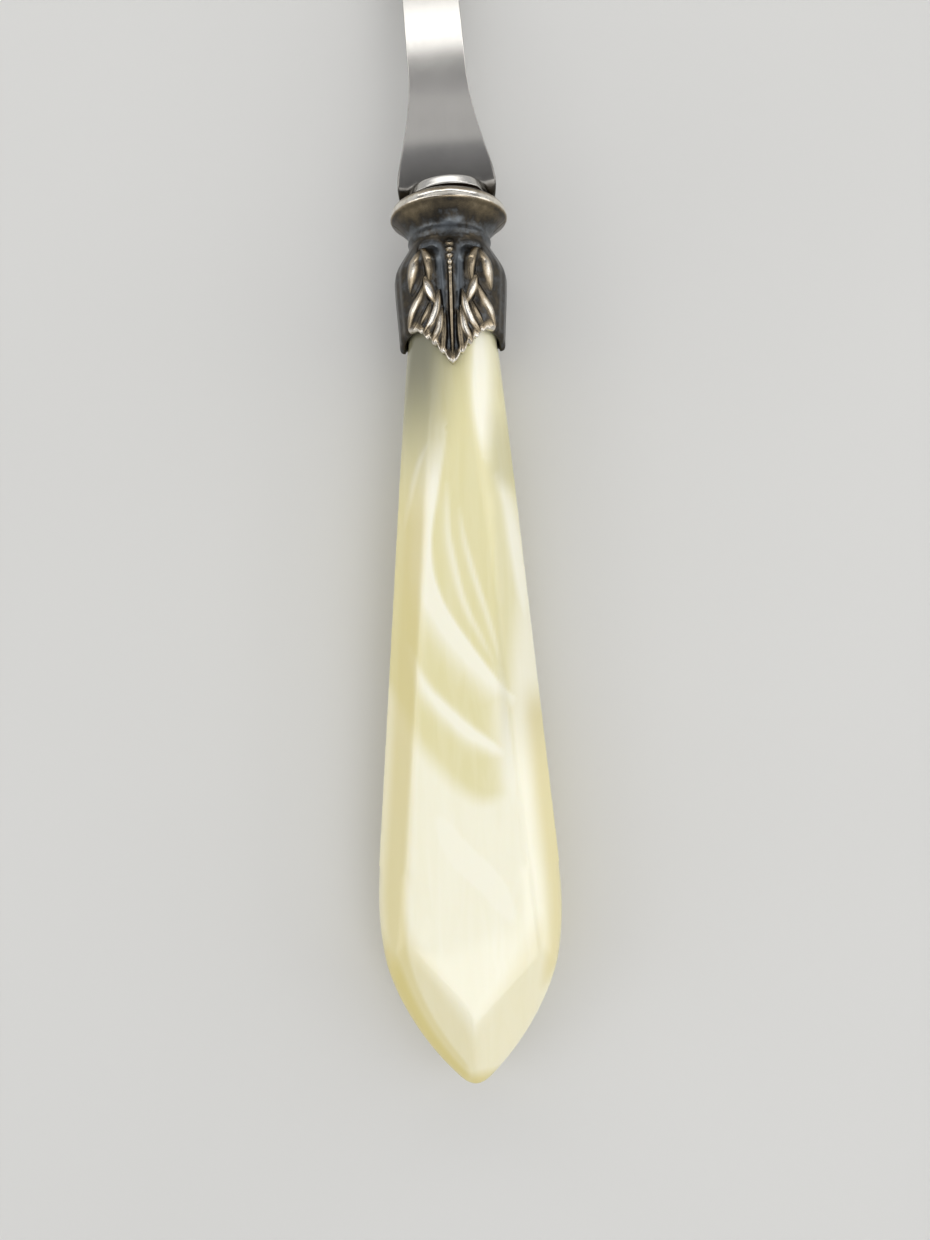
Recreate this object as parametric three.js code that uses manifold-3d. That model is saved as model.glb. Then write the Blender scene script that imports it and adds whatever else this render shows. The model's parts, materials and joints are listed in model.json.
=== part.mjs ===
// A dinner fork with a faceted pearl celluloid handle. The fork is one forging whose tang is cemented
// into the handle, and a stamped ferrule in two soldered halves covers the joint.
// Millimetres, +Z up. The fork lies on a table with its tines up and pointing along +Y.
import * as THREE from "three";
import { mergeVertices } from "three/addons/utils/BufferGeometryUtils.js";
import Module from "manifold-3d";

const wasm = await Module();
wasm.setup();

// Handle
const HANDLE_LENGTH = 98; // from the tip to the end hidden in the ferrule
const HANDLE_WIDTH = 22.2; // at the widest point
const HANDLE_THICKNESS = 11; // between the two flat facets
const NECK_RADIUS = 5.55; // where the handle meets the ferrule's edge
const SPIGOT_LENGTH = 9.3; // the end of the handle that goes into the ferrule
const SPIGOT_STEP = 0.15; // by which that end is slimmer than the neck
const END_ARC_RADIUS = 30; // curve of the outline from the widest point to the nose
const NOSE_RADIUS = 2.5; // rounding of the tip
const BEVEL_WIDTH = 3.7; // each long bevel, seen from above
const SIDE_HEIGHT = 4.2; // side walls between the upper and lower bevels
const FACET_POINT = 9.7; // from the tip to the point of the flat facet
const FACET_POINT_ANGLE = 44; // degrees between the axis and each edge of that point
const FACET_LENGTH = 55; // from the tip to where the facets begin to fade into the round neck
const FADE_SPREAD = 1.15; // of the oval that rounds the neck, where it clears the facets

// Ferrule
const COLLAR_RADIUS = 7.1; // the wide ring next to the fork
const COLLAR_DEPTH = 1.9; // from the rim to the widest point of that ring
const RIM_RADIUS = 5.9; // opening edge that the bolster sits over
const WAIST_RADIUS = 4.8; // the narrow neck between ring and leaves
const WAIST_DEPTH = 4.7;
const BEAD_HEIGHT = 0.25; // small round moulding on the waist
const BEAD_HALF_WIDTH = 0.45;
const LEAF_RADIUS = 6.75; // fullest part of the leaves
const LEAF_DEPTH = 9.4;
const FERRULE_WALL = 0.6;
const FRONT_TIP_DEPTH = 21; // points of the two broad leaves
const SIDE_TIP_DEPTH = 17.9; // points of the two side leaves
const VALLEY_DEPTH = 16.6; // notches between the leaves
const VALLEY_ANGLE = 41; // degrees from the middle of a broad leaf to the notch
const SCALLOP_DEPTH = 0.5; // lobes along the leaf edges
const RIB_HEIGHT = 0.4; // raised veins of the leaves
const FLUTE_DEPTH = 0.3; // hollows beside the middle vein
const SEAM_GAP = 0.12; // solder line between the two halves

// Fork
const FORK_LENGTH = 98.5; // from the ferrule's rim to the tine tips
const FORK_LEAN = 3; // degrees to the left by which the tang is set askew in its cement
const BOLSTER_RADIUS = 6.2;
const BOLSTER_HEIGHT = 1.5;
const FLARE_WIDTH = 12.2; // neck of the fork where it leaves the bolster
const FLARE_THICKNESS = 9.6;
const FLARE_LENGTH = 14;
const SHANK_WIDTH = 7;
const SHANK_THICKNESS = 2.7;
const SHANK_LENGTH = 33; // from the rim to where the neck begins to widen into the head
const BEND_START = 10; // from the rim to where the neck begins to bend down to the heel
const HEAD_WIDTH = 24.5;
const HEEL_THICKNESS = 2.4;
const TIP_THICKNESS = 1.6;
const HEEL_DEPTH = 9.2; // of the head's lowest point below the handle's axis
const TIP_RISE = 4.5; // of the tine tips above that axis
const TINE_COUNT = 4;
const TINE_LENGTH = 45;
const TINE_WIDTH = 3.9; // at the root
const TINE_END_WIDTH = 3; // where the rounded point begins
const TINE_POINT = 6; // length of the rounded point
const TINE_CURVE = 1.9; // power of the tines' upward curve
const TANG_LENGTH = 42;
const TANG_WIDTH = 4; // square, next to the bolster
const TANG_END_WIDTH = 2;

// Cement and clearances
const BORE_RADIUS = 4.1;
const BORE_END_GAP = 5; // cement under the end of the tang
const SEAT_GAP = 0.2; // handle to ferrule
const CEMENT_GAP = 0.15; // cement to what it holds
const BOLSTER_GAP = 0.3; // dark line between fork and ferrule

// Values that follow from the sizes above. Along the axis, y is 0 at the ferrule's rim.
const HALF_TURN = Math.PI;
const NECK_DISTANCE = HANDLE_LENGTH - SPIGOT_LENGTH; // from the tip to the neck
const TIP_Y = -(NECK_DISTANCE + SIDE_TIP_DEPTH);
const HANDLE_TOP_DEPTH = SIDE_TIP_DEPTH - SPIGOT_LENGTH;
const EDGE_RADIUS = NECK_RADIUS + SEAT_GAP + FERRULE_WALL; // ferrule's outside at the leaf edges
const radians = THREE.MathUtils.degToRad;
const smoothstep = THREE.MathUtils.smoothstep;
const lerp = THREE.MathUtils.lerp;
const clamp = THREE.MathUtils.clamp;

// Closed bodies

// Joins rings of points, listed along +Y and each running from +X towards +Z, into a closed body.
// Each four-sided patch is split along the diagonal that bulges further from the axis.
function loft(rings) {
  const count = rings[0].length;
  const points = rings.flat();
  const first = rings[0];
  const last = rings[rings.length - 1];
  const middle = (ring) => ring.reduce((sum, p) => sum.add(p), new THREE.Vector3()).divideScalar(count);
  const startCentre = points.push(middle(first)) - 1;
  const endCentre = points.push(middle(last)) - 1;
  const top = (rings.length - 1) * count;
  const bulge = (p, q) => Math.hypot(p.x + q.x, p.z + q.z);
  const index = [];
  for (let j = 0; j < count; j += 1) {
    const next = (j + 1) % count;
    for (let base = 0; base < top; base += count) {
      const [a, b, c, d] = [base + j, base + next, base + count + j, base + count + next];
      const rising = bulge(points[a], points[d]) >= bulge(points[b], points[c]);
      index.push(...(rising ? [a, d, b, a, c, d] : [a, c, b, b, c, d]));
    }
    index.push(startCentre, j, next);
    index.push(endCentre, top + next, top + j);
  }
  return new THREE.BufferGeometry().setFromPoints(points).setIndex(index);
}

function solid(geometry) {
  const bare = geometry.clone();
  bare.deleteAttribute("normal");
  bare.deleteAttribute("uv");
  const merged = mergeVertices(bare, 1e-4);
  const vertProperties = new Float32Array(merged.attributes.position.array);
  const triVerts = new Uint32Array(merged.index.array);
  return new wasm.Manifold(new wasm.Mesh({ numProp: 3, vertProperties, triVerts }));
}

function geometryOf(body) {
  const mesh = body.getMesh();
  const geometry = new THREE.BufferGeometry();
  geometry.setAttribute("position", new THREE.BufferAttribute(mesh.vertProperties, 3));
  geometry.setIndex(new THREE.BufferAttribute(mesh.triVerts, 1));
  geometry.computeVertexNormals();
  return geometry;
}

// A turned body round the Y axis, from pairs of radius and y listed along +Y.
function turned(profile, sides) {
  const ring = ([radius, y]) =>
    Array.from({ length: sides }, (_, i) => {
      const turn = (2 * HALF_TURN * i) / sides;
      return new THREE.Vector3(radius * Math.cos(turn), y, radius * Math.sin(turn));
    });
  return loft(profile.map(ring));
}

function piece(name, geometry, colour, roughness, metalness) {
  const material = new THREE.MeshStandardMaterial({ color: colour, roughness, metalness });
  const mesh = new THREE.Mesh(geometry, material);
  mesh.name = name;
  return mesh;
}

// Handle

// Half the width at a distance from the tip: a nose, an arc, and a straight taper up to the neck.
const ARC_CENTRE_X = HANDLE_WIDTH / 2 - END_ARC_RADIUS;
const ARC_CENTRE = NOSE_RADIUS + Math.sqrt((END_ARC_RADIUS - NOSE_RADIUS) ** 2 - ARC_CENTRE_X ** 2);
const NOSE_END = NOSE_RADIUS * (1 - (ARC_CENTRE - NOSE_RADIUS) / (END_ARC_RADIUS - NOSE_RADIUS));
const neckOffset = new THREE.Vector2(NECK_RADIUS - ARC_CENTRE_X, NECK_DISTANCE - ARC_CENTRE);
const TAPER_ANGLE = neckOffset.angle() - Math.acos(END_ARC_RADIUS / neckOffset.length());
const TAPER_START = ARC_CENTRE + END_ARC_RADIUS * Math.sin(TAPER_ANGLE);

function handleHalfWidth(distance) {
  if (distance < NOSE_END) {
    return Math.sqrt(NOSE_RADIUS ** 2 - (NOSE_RADIUS - distance) ** 2);
  }
  if (distance < TAPER_START) {
    return ARC_CENTRE_X + Math.sqrt(END_ARC_RADIUS ** 2 - (ARC_CENTRE - distance) ** 2);
  }
  return NECK_RADIUS + (NECK_DISTANCE - distance) * Math.tan(TAPER_ANGLE);
}

// A block that fills everything under the plane through three points, on the side of the axis.
function blockUnder(a, b, c) {
  const reach = 4 * HANDLE_LENGTH;
  const plane = new THREE.Plane().setFromCoplanarPoints(a, b, c);
  if (plane.distanceToPoint(new THREE.Vector3(0, a.y, 0)) > 0) {
    plane.negate();
  }
  const block = new THREE.BoxGeometry(reach, reach, reach);
  block.translate(0, 0, -reach / 2);
  const turn = new THREE.Quaternion().setFromUnitVectors(new THREE.Vector3(0, 0, 1), plane.normal);
  block.applyQuaternion(turn);
  const foot = plane.normal.clone().multiplyScalar(-plane.constant);
  return solid(block.translate(foot.x, foot.y, foot.z));
}

// The bevel along one side and the facet at the tip, on the side and face that the signs give.
function facetBlocks(side, face) {
  const wall = face * (SIDE_HEIGHT / 2);
  const top = face * (HANDLE_THICKNESS / 2);
  const spot = (x, distance, z) => new THREE.Vector3(side * x, TIP_Y + distance, z);
  const edge = handleHalfWidth(TAPER_START);
  const bevel = [
    spot(edge, TAPER_START, wall),
    spot(NECK_RADIUS, NECK_DISTANCE, wall),
    spot(edge - BEVEL_WIDTH, TAPER_START, top),
  ];
  const run = HANDLE_WIDTH;
  const tip = [
    spot(0, 0, wall),
    spot(0, FACET_POINT, top),
    spot(run * Math.tan(radians(FACET_POINT_ANGLE)), FACET_POINT + run, top),
  ];
  return [blockUnder(...bevel), blockUnder(...tip)];
}

// The handle seen from above, without the end that goes into the ferrule.
function handleOutline() {
  const steps = 40;
  const distances = Array.from({ length: steps + 1 }, (_, i) => TAPER_START * (i / steps) ** 2);
  const right = [...distances, NECK_DISTANCE].map((d) => new THREE.Vector2(handleHalfWidth(d), TIP_Y + d));
  const left = right.slice(1).reverse().map((p) => new THREE.Vector2(-p.x, p.y));
  return new THREE.Shape([...right, ...left]);
}

// An oval body that is as slim as the round neck at the ferrule and clear of the facets' edges
// further down, so that the edges fade out between them.
function neckRounding() {
  const steps = 8;
  const sides = 48;
  const ring = (distance) => {
    const fade = clamp((NECK_DISTANCE - distance) / (NECK_DISTANCE - FACET_LENGTH), 0, 1);
    const spread = lerp(1, FADE_SPREAD, fade);
    const height = lerp(NECK_RADIUS, HANDLE_THICKNESS / 2, fade);
    return Array.from({ length: sides }, (_, i) => {
      const turn = (2 * HALF_TURN * i) / sides;
      const x = spread * handleHalfWidth(distance) * Math.cos(turn);
      return new THREE.Vector3(x, TIP_Y + distance, spread * height * Math.sin(turn));
    });
  };
  const neck = Array.from({ length: steps + 1 }, (_, i) => lerp(FACET_LENGTH, NECK_DISTANCE, i / steps));
  const below = ring(FACET_LENGTH).map((p) => {
    const scale = HANDLE_WIDTH / handleHalfWidth(FACET_LENGTH);
    return new THREE.Vector3(p.x * scale, TIP_Y - NOSE_RADIUS, p.z * scale);
  });
  return solid(loft([below, ...neck.map(ring)]));
}

function handleBody() {
  const extrude = { depth: HANDLE_THICKNESS, bevelEnabled: false };
  const blank = new THREE.ExtrudeGeometry(handleOutline(), extrude);
  let body = solid(blank.translate(0, 0, -HANDLE_THICKNESS / 2));
  for (const side of [1, -1]) {
    for (const face of [1, -1]) {
      for (const block of facetBlocks(side, face)) {
        body = body.intersect(block);
      }
    }
  }
  const spigotRadius = NECK_RADIUS - SPIGOT_STEP;
  const spigotStart = TIP_Y + NECK_DISTANCE - SPIGOT_STEP;
  const spigot = turned([[spigotRadius, spigotStart], [spigotRadius, TIP_Y + HANDLE_LENGTH]], 48);
  return body.intersect(neckRounding()).add(solid(spigot));
}

// Fork, in its own frame: along +Y from the bolster, before it is leaned

const ROOT_Y = FORK_LENGTH - TINE_LENGTH; // bottom of the slots
const BOLSTER_TOP = BOLSTER_GAP + BOLSTER_HEIGHT;

const WIDTH_FLARE = 1.5; // powers by which the neck's width and thickness shrink along the flare
const THICKNESS_FLARE = 2.5;
const PLATE_START = BOLSTER_TOP + 0.9 * FLARE_LENGTH; // where the flare has become the flat shank
const JOIN = 0.5; // by which the bodies of the forging run into each other

// Share of the flare that is left at a distance beyond the bolster.
function flareShare(y, power) {
  return clamp(1 - (y - BOLSTER_TOP) / FLARE_LENGTH, 0, 1) ** power;
}

function shankHalfWidth(y) {
  return SHANK_WIDTH / 2 + ((FLARE_WIDTH - SHANK_WIDTH) / 2) * flareShare(y, WIDTH_FLARE);
}

// Height of the middle of the fork's thickness: down to the heel and up to the tine tips.
function forkLift(y) {
  const rise = clamp((y - ROOT_Y) / TINE_LENGTH, 0, 1) ** TINE_CURVE;
  return (HEEL_DEPTH + TIP_RISE) * rise - HEEL_DEPTH * smoothstep(y, BEND_START, ROOT_Y);
}

// Wide bent plate of the fork's thickness, which the outline from above cuts to shape.
function bentPlate() {
  const steps = 36;
  const reach = HEAD_WIDTH;
  const slopeStep = 0.1;
  const ring = (y) => {
    const thickness = y < ROOT_Y
      ? lerp(SHANK_THICKNESS, HEEL_THICKNESS, y / ROOT_Y)
      : lerp(HEEL_THICKNESS, TIP_THICKNESS, (y - ROOT_Y) / TINE_LENGTH);
    const along = new THREE.Vector2(2 * slopeStep, forkLift(y + slopeStep) - forkLift(y - slopeStep));
    const up = new THREE.Vector2(-along.y, along.x).setLength(thickness / 2);
    const point = (x, side) => new THREE.Vector3(x, y + side * up.x, forkLift(y) + side * up.y);
    return [point(reach, -1), point(reach, 1), point(-reach, 1), point(-reach, -1)];
  };
  const rings = Array.from({ length: steps + 1 }, (_, i) => ring(lerp(0, FORK_LENGTH, i / steps)));
  const pastTips = rings[steps].map((p) => p.clone().setY(FORK_LENGTH + TIP_THICKNESS));
  return solid(loft([...rings, pastTips]));
}

// How far the head's outline keeps to the neck's side and to its own, as shares of the root's length.
const NECK_HOLD = 0.55;
const HEAD_HOLD = 0.5;

// Outline from above: neck, head and tines with round-ended slots between them.
function forkOutline() {
  const outline = new THREE.Shape();
  const half = HEAD_WIDTH / 2;
  const pitch = (HEAD_WIDTH - TINE_WIDTH) / (TINE_COUNT - 1);
  const slotHalf = (pitch - TINE_WIDTH) / 2;
  const tineEnd = FORK_LENGTH - TINE_POINT;
  const rootLength = ROOT_Y - SHANK_LENGTH;
  const steps = 8;
  const neck = Array.from({ length: steps + 1 }, (_, i) => lerp(PLATE_START, SHANK_LENGTH, i / steps));
  outline.moveTo(-shankHalfWidth(PLATE_START), PLATE_START);
  for (const y of neck) {
    outline.lineTo(shankHalfWidth(y), y);
  }
  outline.bezierCurveTo(
    SHANK_WIDTH / 2, SHANK_LENGTH + NECK_HOLD * rootLength,
    half, ROOT_Y - HEAD_HOLD * rootLength,
    half, ROOT_Y + slotHalf,
  );
  for (let i = TINE_COUNT - 1; i >= 0; i -= 1) {
    const x = (i - (TINE_COUNT - 1) / 2) * pitch;
    const end = TINE_END_WIDTH / 2;
    outline.lineTo(x + end, tineEnd);
    outline.quadraticCurveTo(x + end, FORK_LENGTH, x, FORK_LENGTH);
    outline.quadraticCurveTo(x - end, FORK_LENGTH, x - end, tineEnd);
    outline.lineTo(x - TINE_WIDTH / 2, ROOT_Y + slotHalf);
    if (i > 0) {
      outline.absarc(x - pitch / 2, ROOT_Y + slotHalf, slotHalf, 0, -HALF_TURN, true);
    }
  }
  outline.bezierCurveTo(
    -half, ROOT_Y - HEAD_HOLD * rootLength,
    -SHANK_WIDTH / 2, SHANK_LENGTH + NECK_HOLD * rootLength,
    -SHANK_WIDTH / 2, SHANK_LENGTH,
  );
  for (const y of neck.toReversed()) {
    outline.lineTo(-shankHalfWidth(y), y);
  }
  return outline;
}

// The neck beside the bolster, which goes from an oval to the flat section of the shank.
const SHANK_SQUARENESS = 40; // power of the superellipse there, where 2 is an oval

function flareBody() {
  const steps = 9;
  const sides = 32;
  const start = BOLSTER_TOP - JOIN;
  const end = PLATE_START + JOIN;
  const ring = (y) => {
    const halfWidth = shankHalfWidth(y);
    const halfHeight = lerp(SHANK_THICKNESS, FLARE_THICKNESS, flareShare(y, THICKNESS_FLARE)) / 2;
    const power = 2 / lerp(SHANK_SQUARENESS, 2, flareShare(y, 1));
    const bulge = (v) => Math.sign(v) * Math.abs(v) ** power;
    const lift = forkLift(y);
    return Array.from({ length: sides }, (_, i) => {
      const turn = (2 * HALF_TURN * (i + 0.5)) / sides;
      const x = halfWidth * bulge(Math.cos(turn));
      return new THREE.Vector3(x, y, lift + halfHeight * bulge(Math.sin(turn)));
    });
  };
  const rings = Array.from({ length: steps + 1 }, (_, i) => ring(lerp(start, end, i / steps)));
  return solid(loft(rings));
}

function bolsterBody() {
  const steps = 6;
  const profile = Array.from({ length: steps + 1 }, (_, i) => {
    const turn = HALF_TURN * (i / steps - 0.5);
    const radius = BOLSTER_RADIUS - (BOLSTER_HEIGHT / 2) * (1 - Math.cos(turn));
    return [radius, BOLSTER_GAP + (BOLSTER_HEIGHT / 2) * (1 + Math.sin(turn))];
  });
  return solid(turned(profile, 48));
}

// Square tapered tang. The clearance makes the larger body that its hole in the cement is cut with.
function tangBody(clearance) {
  const ring = (halfWidth, y) => [
    new THREE.Vector3(halfWidth, y, -halfWidth),
    new THREE.Vector3(halfWidth, y, halfWidth),
    new THREE.Vector3(-halfWidth, y, halfWidth),
    new THREE.Vector3(-halfWidth, y, -halfWidth),
  ];
  const end = ring(TANG_END_WIDTH / 2 + clearance, -TANG_LENGTH - clearance);
  const root = ring(TANG_WIDTH / 2 + clearance, BOLSTER_GAP + JOIN);
  return loft([end, root]);
}

function forkBody() {
  const extrude = { depth: 4 * HEAD_WIDTH, bevelEnabled: false, curveSegments: 8 };
  const outline = new THREE.ExtrudeGeometry(forkOutline(), extrude);
  outline.translate(0, 0, -2 * HEAD_WIDTH);
  return bentPlate()
    .intersect(solid(outline))
    .add(flareBody())
    .add(bolsterBody())
    .add(solid(tangBody(0)));
}

// Ferrule

const COLLAR_CURVE = 0.7; // powers that shape the wide ring's outline and the leaves' edges
const LEAF_EDGE_CURVE = 1.6;
const SIDE_EDGE_CURVE = 1.5;
const LOBE_COUNT = 3; // on each edge of a broad leaf
const RELIEF_RUN = 0.25; // share of a leaf's length over which its relief rises from the waist
const LEAF_START = WAIST_DEPTH + 1;

// Outside radius of the ferrule at a depth below its rim, without the leaves' relief.
function ferruleRadius(depth) {
  const bead = BEAD_HEIGHT * Math.exp(-(((depth - WAIST_DEPTH) / BEAD_HALF_WIDTH) ** 2));
  if (depth < COLLAR_DEPTH) {
    return lerp(RIM_RADIUS, COLLAR_RADIUS, clamp(depth / COLLAR_DEPTH, 0, 1) ** COLLAR_CURVE);
  }
  if (depth < WAIST_DEPTH) {
    const share = (depth - COLLAR_DEPTH) / (WAIST_DEPTH - COLLAR_DEPTH);
    return bead + lerp(COLLAR_RADIUS, WAIST_RADIUS, Math.sin((HALF_TURN / 2) * share));
  }
  if (depth < LEAF_DEPTH) {
    return bead + lerp(WAIST_RADIUS, LEAF_RADIUS, smoothstep(depth, WAIST_DEPTH, LEAF_DEPTH));
  }
  return lerp(LEAF_RADIUS, EDGE_RADIUS, smoothstep(depth, LEAF_DEPTH, SIDE_TIP_DEPTH));
}

// Degrees from the middle of the nearest broad leaf, in front or behind: 0 there and 90 at the sides.
function angleFromLeaf(turn) {
  const degrees = THREE.MathUtils.radToDeg(turn);
  const fromFront = Math.abs(THREE.MathUtils.euclideanModulo(degrees - 90 + 180, 360) - 180);
  return Math.min(fromFront, 180 - fromFront);
}

function leafEdgeDepth(turn) {
  const angle = angleFromLeaf(turn);
  if (angle > VALLEY_ANGLE) {
    const share = (angle - VALLEY_ANGLE) / (90 - VALLEY_ANGLE);
    return lerp(VALLEY_DEPTH, SIDE_TIP_DEPTH, share ** SIDE_EDGE_CURVE);
  }
  const share = angle / VALLEY_ANGLE;
  const lobes = SCALLOP_DEPTH * Math.abs(Math.sin(LOBE_COUNT * HALF_TURN * share)) * (1 - share);
  return lerp(FRONT_TIP_DEPTH, VALLEY_DEPTH, 1 - (1 - share) ** LEAF_EDGE_CURVE) + lobes * share;
}

// Veins of half a broad leaf: where each starts, bends and ends, as shares of the leaf's half width
// and of its length from the waist to the point, and half the vein's own width.
const VEINS = [
  { points: [[0, 0.1], [0, 0.5], [0, 1]], halfWidth: 0.55 },
  { points: [[0.54, 0.14], [0.33, 0.29], [0.39, 0.53]], halfWidth: 0.6 },
  { points: [[0.81, 0.2], [0.95, 0.25], [1.06, 0.39]], halfWidth: 0.8 },
  { points: [[0.56, 0.42], [0.75, 0.48], [1.14, 0.61]], halfWidth: 0.8 },
  { points: [[0.21, 0.52], [0.29, 0.67], [0.7, 0.75]], halfWidth: 0.75 },
];
const FLUTE = { points: [[0.87, 0.13], [0.14, 0.17], [0.16, 0.69]], halfWidth: 0.7 };
const LEAF_HALF_WIDTH = radians(VALLEY_ANGLE) * LEAF_RADIUS;
const STROKE_STEPS = 40;

// A vein as a path of spots on the unrolled leaf: distance from its middle, and depth below the rim.
function stroke({ points, halfWidth }) {
  const spots = points.map(([across, along]) => {
    return new THREE.Vector2(across * LEAF_HALF_WIDTH, lerp(WAIST_DEPTH, FRONT_TIP_DEPTH, along));
  });
  return { path: new THREE.QuadraticBezierCurve(...spots).getPoints(STROKE_STEPS), halfWidth };
}

const veinStrokes = VEINS.map(stroke);
const fluteStroke = stroke(FLUTE);

function leafRelief(turn, depth) {
  const spot = new THREE.Vector2(radians(angleFromLeaf(turn)) * LEAF_RADIUS, depth);
  const mark = ({ path, halfWidth }) => {
    const distance = Math.min(...path.map((point) => point.distanceTo(spot)));
    return Math.exp(-((distance / halfWidth) ** 2));
  };
  const raised = Math.max(...veinStrokes.map(mark));
  return RIB_HEIGHT * raised - FLUTE_DEPTH * mark(fluteStroke) * (1 - raised);
}

// Turns round the ferrule at which its outside is drawn, closer together on the broad leaves.
function ferruleTurns() {
  const quarter = [];
  const leafSteps = 16;
  const sideSteps = 4;
  for (let i = 0; i < leafSteps; i += 1) {
    quarter.push(lerp(0, VALLEY_ANGLE, i / leafSteps));
  }
  for (let i = 0; i < sideSteps; i += 1) {
    quarter.push(lerp(VALLEY_ANGLE, 90, i / sideSteps));
  }
  const mirrored = quarter.map((angle) => 180 - angle).reverse().filter((angle) => angle < 180);
  const half = [...quarter, 90, ...mirrored];
  return [...half, ...half.map((angle) => angle + 180)].map((angle) => radians(angle - 90));
}

function ferruleBody() {
  const turns = ferruleTurns();
  const collarSteps = 12;
  const leafSteps = 36;
  const collar = Array.from({ length: collarSteps }, (_, i) => LEAF_START * (i / collarSteps));
  const ring = (depthAt, relief) =>
    turns.map((turn) => {
      const depth = depthAt(turn);
      const radius = ferruleRadius(depth) + relief * leafRelief(turn, depth);
      return new THREE.Vector3(radius * Math.cos(turn), -depth, radius * Math.sin(turn));
    });
  const rings = collar.map((depth) => ring(() => depth, 0));
  for (let i = 0; i <= leafSteps; i += 1) {
    const share = i / leafSteps;
    const depthAt = (turn) => lerp(LEAF_START, leafEdgeDepth(turn), share);
    rings.push(ring(depthAt, Math.min(1, share / RELIEF_RUN)));
  }
  const coreSteps = 24;
  const coreEnd = FRONT_TIP_DEPTH + FERRULE_WALL;
  const core = Array.from({ length: coreSteps + 1 }, (_, i) => {
    const depth = lerp(coreEnd, -FERRULE_WALL, i / coreSteps);
    return [ferruleRadius(depth) - FERRULE_WALL, -depth];
  });
  return solid(loft(rings.reverse())).subtract(solid(turned(core, 48)));
}

// One half of the ferrule, on the side of the seam that the sign gives.
function ferruleHalf(body, side) {
  const reach = 4 * FRONT_TIP_DEPTH;
  const block = new THREE.BoxGeometry(reach, reach, reach);
  block.translate(0, 0, side * (reach / 2 + SEAM_GAP / 2));
  return body.intersect(solid(block));
}

// Cement

function leanedTang(clearance) {
  return solid(tangBody(clearance).rotateZ(radians(FORK_LEAN)));
}

function ferruleCementBody() {
  const steps = 12;
  const profile = Array.from({ length: steps + 1 }, (_, i) => {
    const depth = lerp(HANDLE_TOP_DEPTH - CEMENT_GAP, CEMENT_GAP, i / steps);
    return [ferruleRadius(depth) - FERRULE_WALL - CEMENT_GAP, -depth];
  });
  return solid(turned(profile, 36)).subtract(leanedTang(CEMENT_GAP));
}

const BORE_BOTTOM = -(TANG_LENGTH + BORE_END_GAP);

function boreBody(clearance, top) {
  const radius = BORE_RADIUS - clearance;
  return solid(turned([[radius, BORE_BOTTOM + clearance], [radius, top]], 32));
}

function tangCementBody() {
  return boreBody(CEMENT_GAP, -HANDLE_TOP_DEPTH).subtract(leanedTang(CEMENT_GAP));
}

// Assembly

const STEEL = "#b9b7b2";
const SILVER = "#a9a193";
const CEMENT = "#7b5a43";
const PEARL = "#ece5c4";

const ferrule = ferruleBody();
const bored = handleBody().subtract(boreBody(0, BORE_RADIUS));
const handle = piece("handle", geometryOf(bored), PEARL, 0.2, 0);
const fork = piece("fork", geometryOf(forkBody()), STEEL, 0.18, 1);
const fixed = [
  handle,
  piece("ferrule_front", geometryOf(ferruleHalf(ferrule, 1)), SILVER, 0.35, 1),
  piece("ferrule_back", geometryOf(ferruleHalf(ferrule, -1)), SILVER, 0.35, 1),
  piece("ferrule_cement", geometryOf(ferruleCementBody()), CEMENT, 0.9, 0),
  piece("tang_cement", geometryOf(tangCementBody()), CEMENT, 0.9, 0),
];

const leaned = new THREE.Group();
leaned.rotation.z = radians(FORK_LEAN);
leaned.add(fork);
const lying = new THREE.Group();
lying.add(leaned, ...fixed);

// Tips the fork until the handle's underside and the heel of the head both touch the table.
function lowestPoint(mesh) {
  mesh.updateWorldMatrix(true, false);
  const positions = mesh.geometry.attributes.position;
  const lowest = new THREE.Vector3(0, 0, Infinity);
  const point = new THREE.Vector3();
  for (let i = 0; i < positions.count; i += 1) {
    point.fromBufferAttribute(positions, i).applyMatrix4(mesh.matrixWorld);
    if (point.z < lowest.z) {
      lowest.copy(point);
    }
  }
  return lowest;
}

const RESTING_ROUNDS = 6;
for (let round = 0; round < RESTING_ROUNDS; round += 1) {
  const heel = lowestPoint(fork);
  const end = lowestPoint(handle);
  lying.rotation.x += Math.atan2(end.z - heel.z, heel.y - end.y);
}

// The origin is under the middle of the whole fork, on the table.
const object = new THREE.Group();
object.add(lying);
object.updateMatrixWorld(true);
const extent = new THREE.Box3().setFromObject(object, true);
const centre = extent.getCenter(new THREE.Vector3());
lying.position.set(-centre.x, -centre.y, -extent.min.z);

export default object;
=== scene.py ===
import json
import math
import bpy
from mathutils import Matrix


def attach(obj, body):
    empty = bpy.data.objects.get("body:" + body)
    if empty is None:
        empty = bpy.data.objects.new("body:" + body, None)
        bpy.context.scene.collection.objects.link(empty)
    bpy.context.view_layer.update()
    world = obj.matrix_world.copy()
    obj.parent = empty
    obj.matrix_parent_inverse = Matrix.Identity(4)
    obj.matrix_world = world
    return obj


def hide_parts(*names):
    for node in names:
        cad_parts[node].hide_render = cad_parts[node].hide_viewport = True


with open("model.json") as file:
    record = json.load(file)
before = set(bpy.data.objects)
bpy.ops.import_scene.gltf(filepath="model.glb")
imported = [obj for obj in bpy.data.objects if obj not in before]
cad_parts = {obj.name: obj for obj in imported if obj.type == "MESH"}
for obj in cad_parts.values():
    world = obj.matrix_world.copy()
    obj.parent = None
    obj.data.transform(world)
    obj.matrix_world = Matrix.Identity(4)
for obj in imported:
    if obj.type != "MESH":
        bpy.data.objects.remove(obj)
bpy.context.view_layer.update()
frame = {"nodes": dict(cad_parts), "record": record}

from types import SimpleNamespace

import bmesh
import bpy
import numpy as np
from bmesh.types import BMEdge, BMVert
from bpy.props import FloatProperty, FloatVectorProperty, IntProperty, PointerProperty
from mathutils import Matrix, Vector

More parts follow.
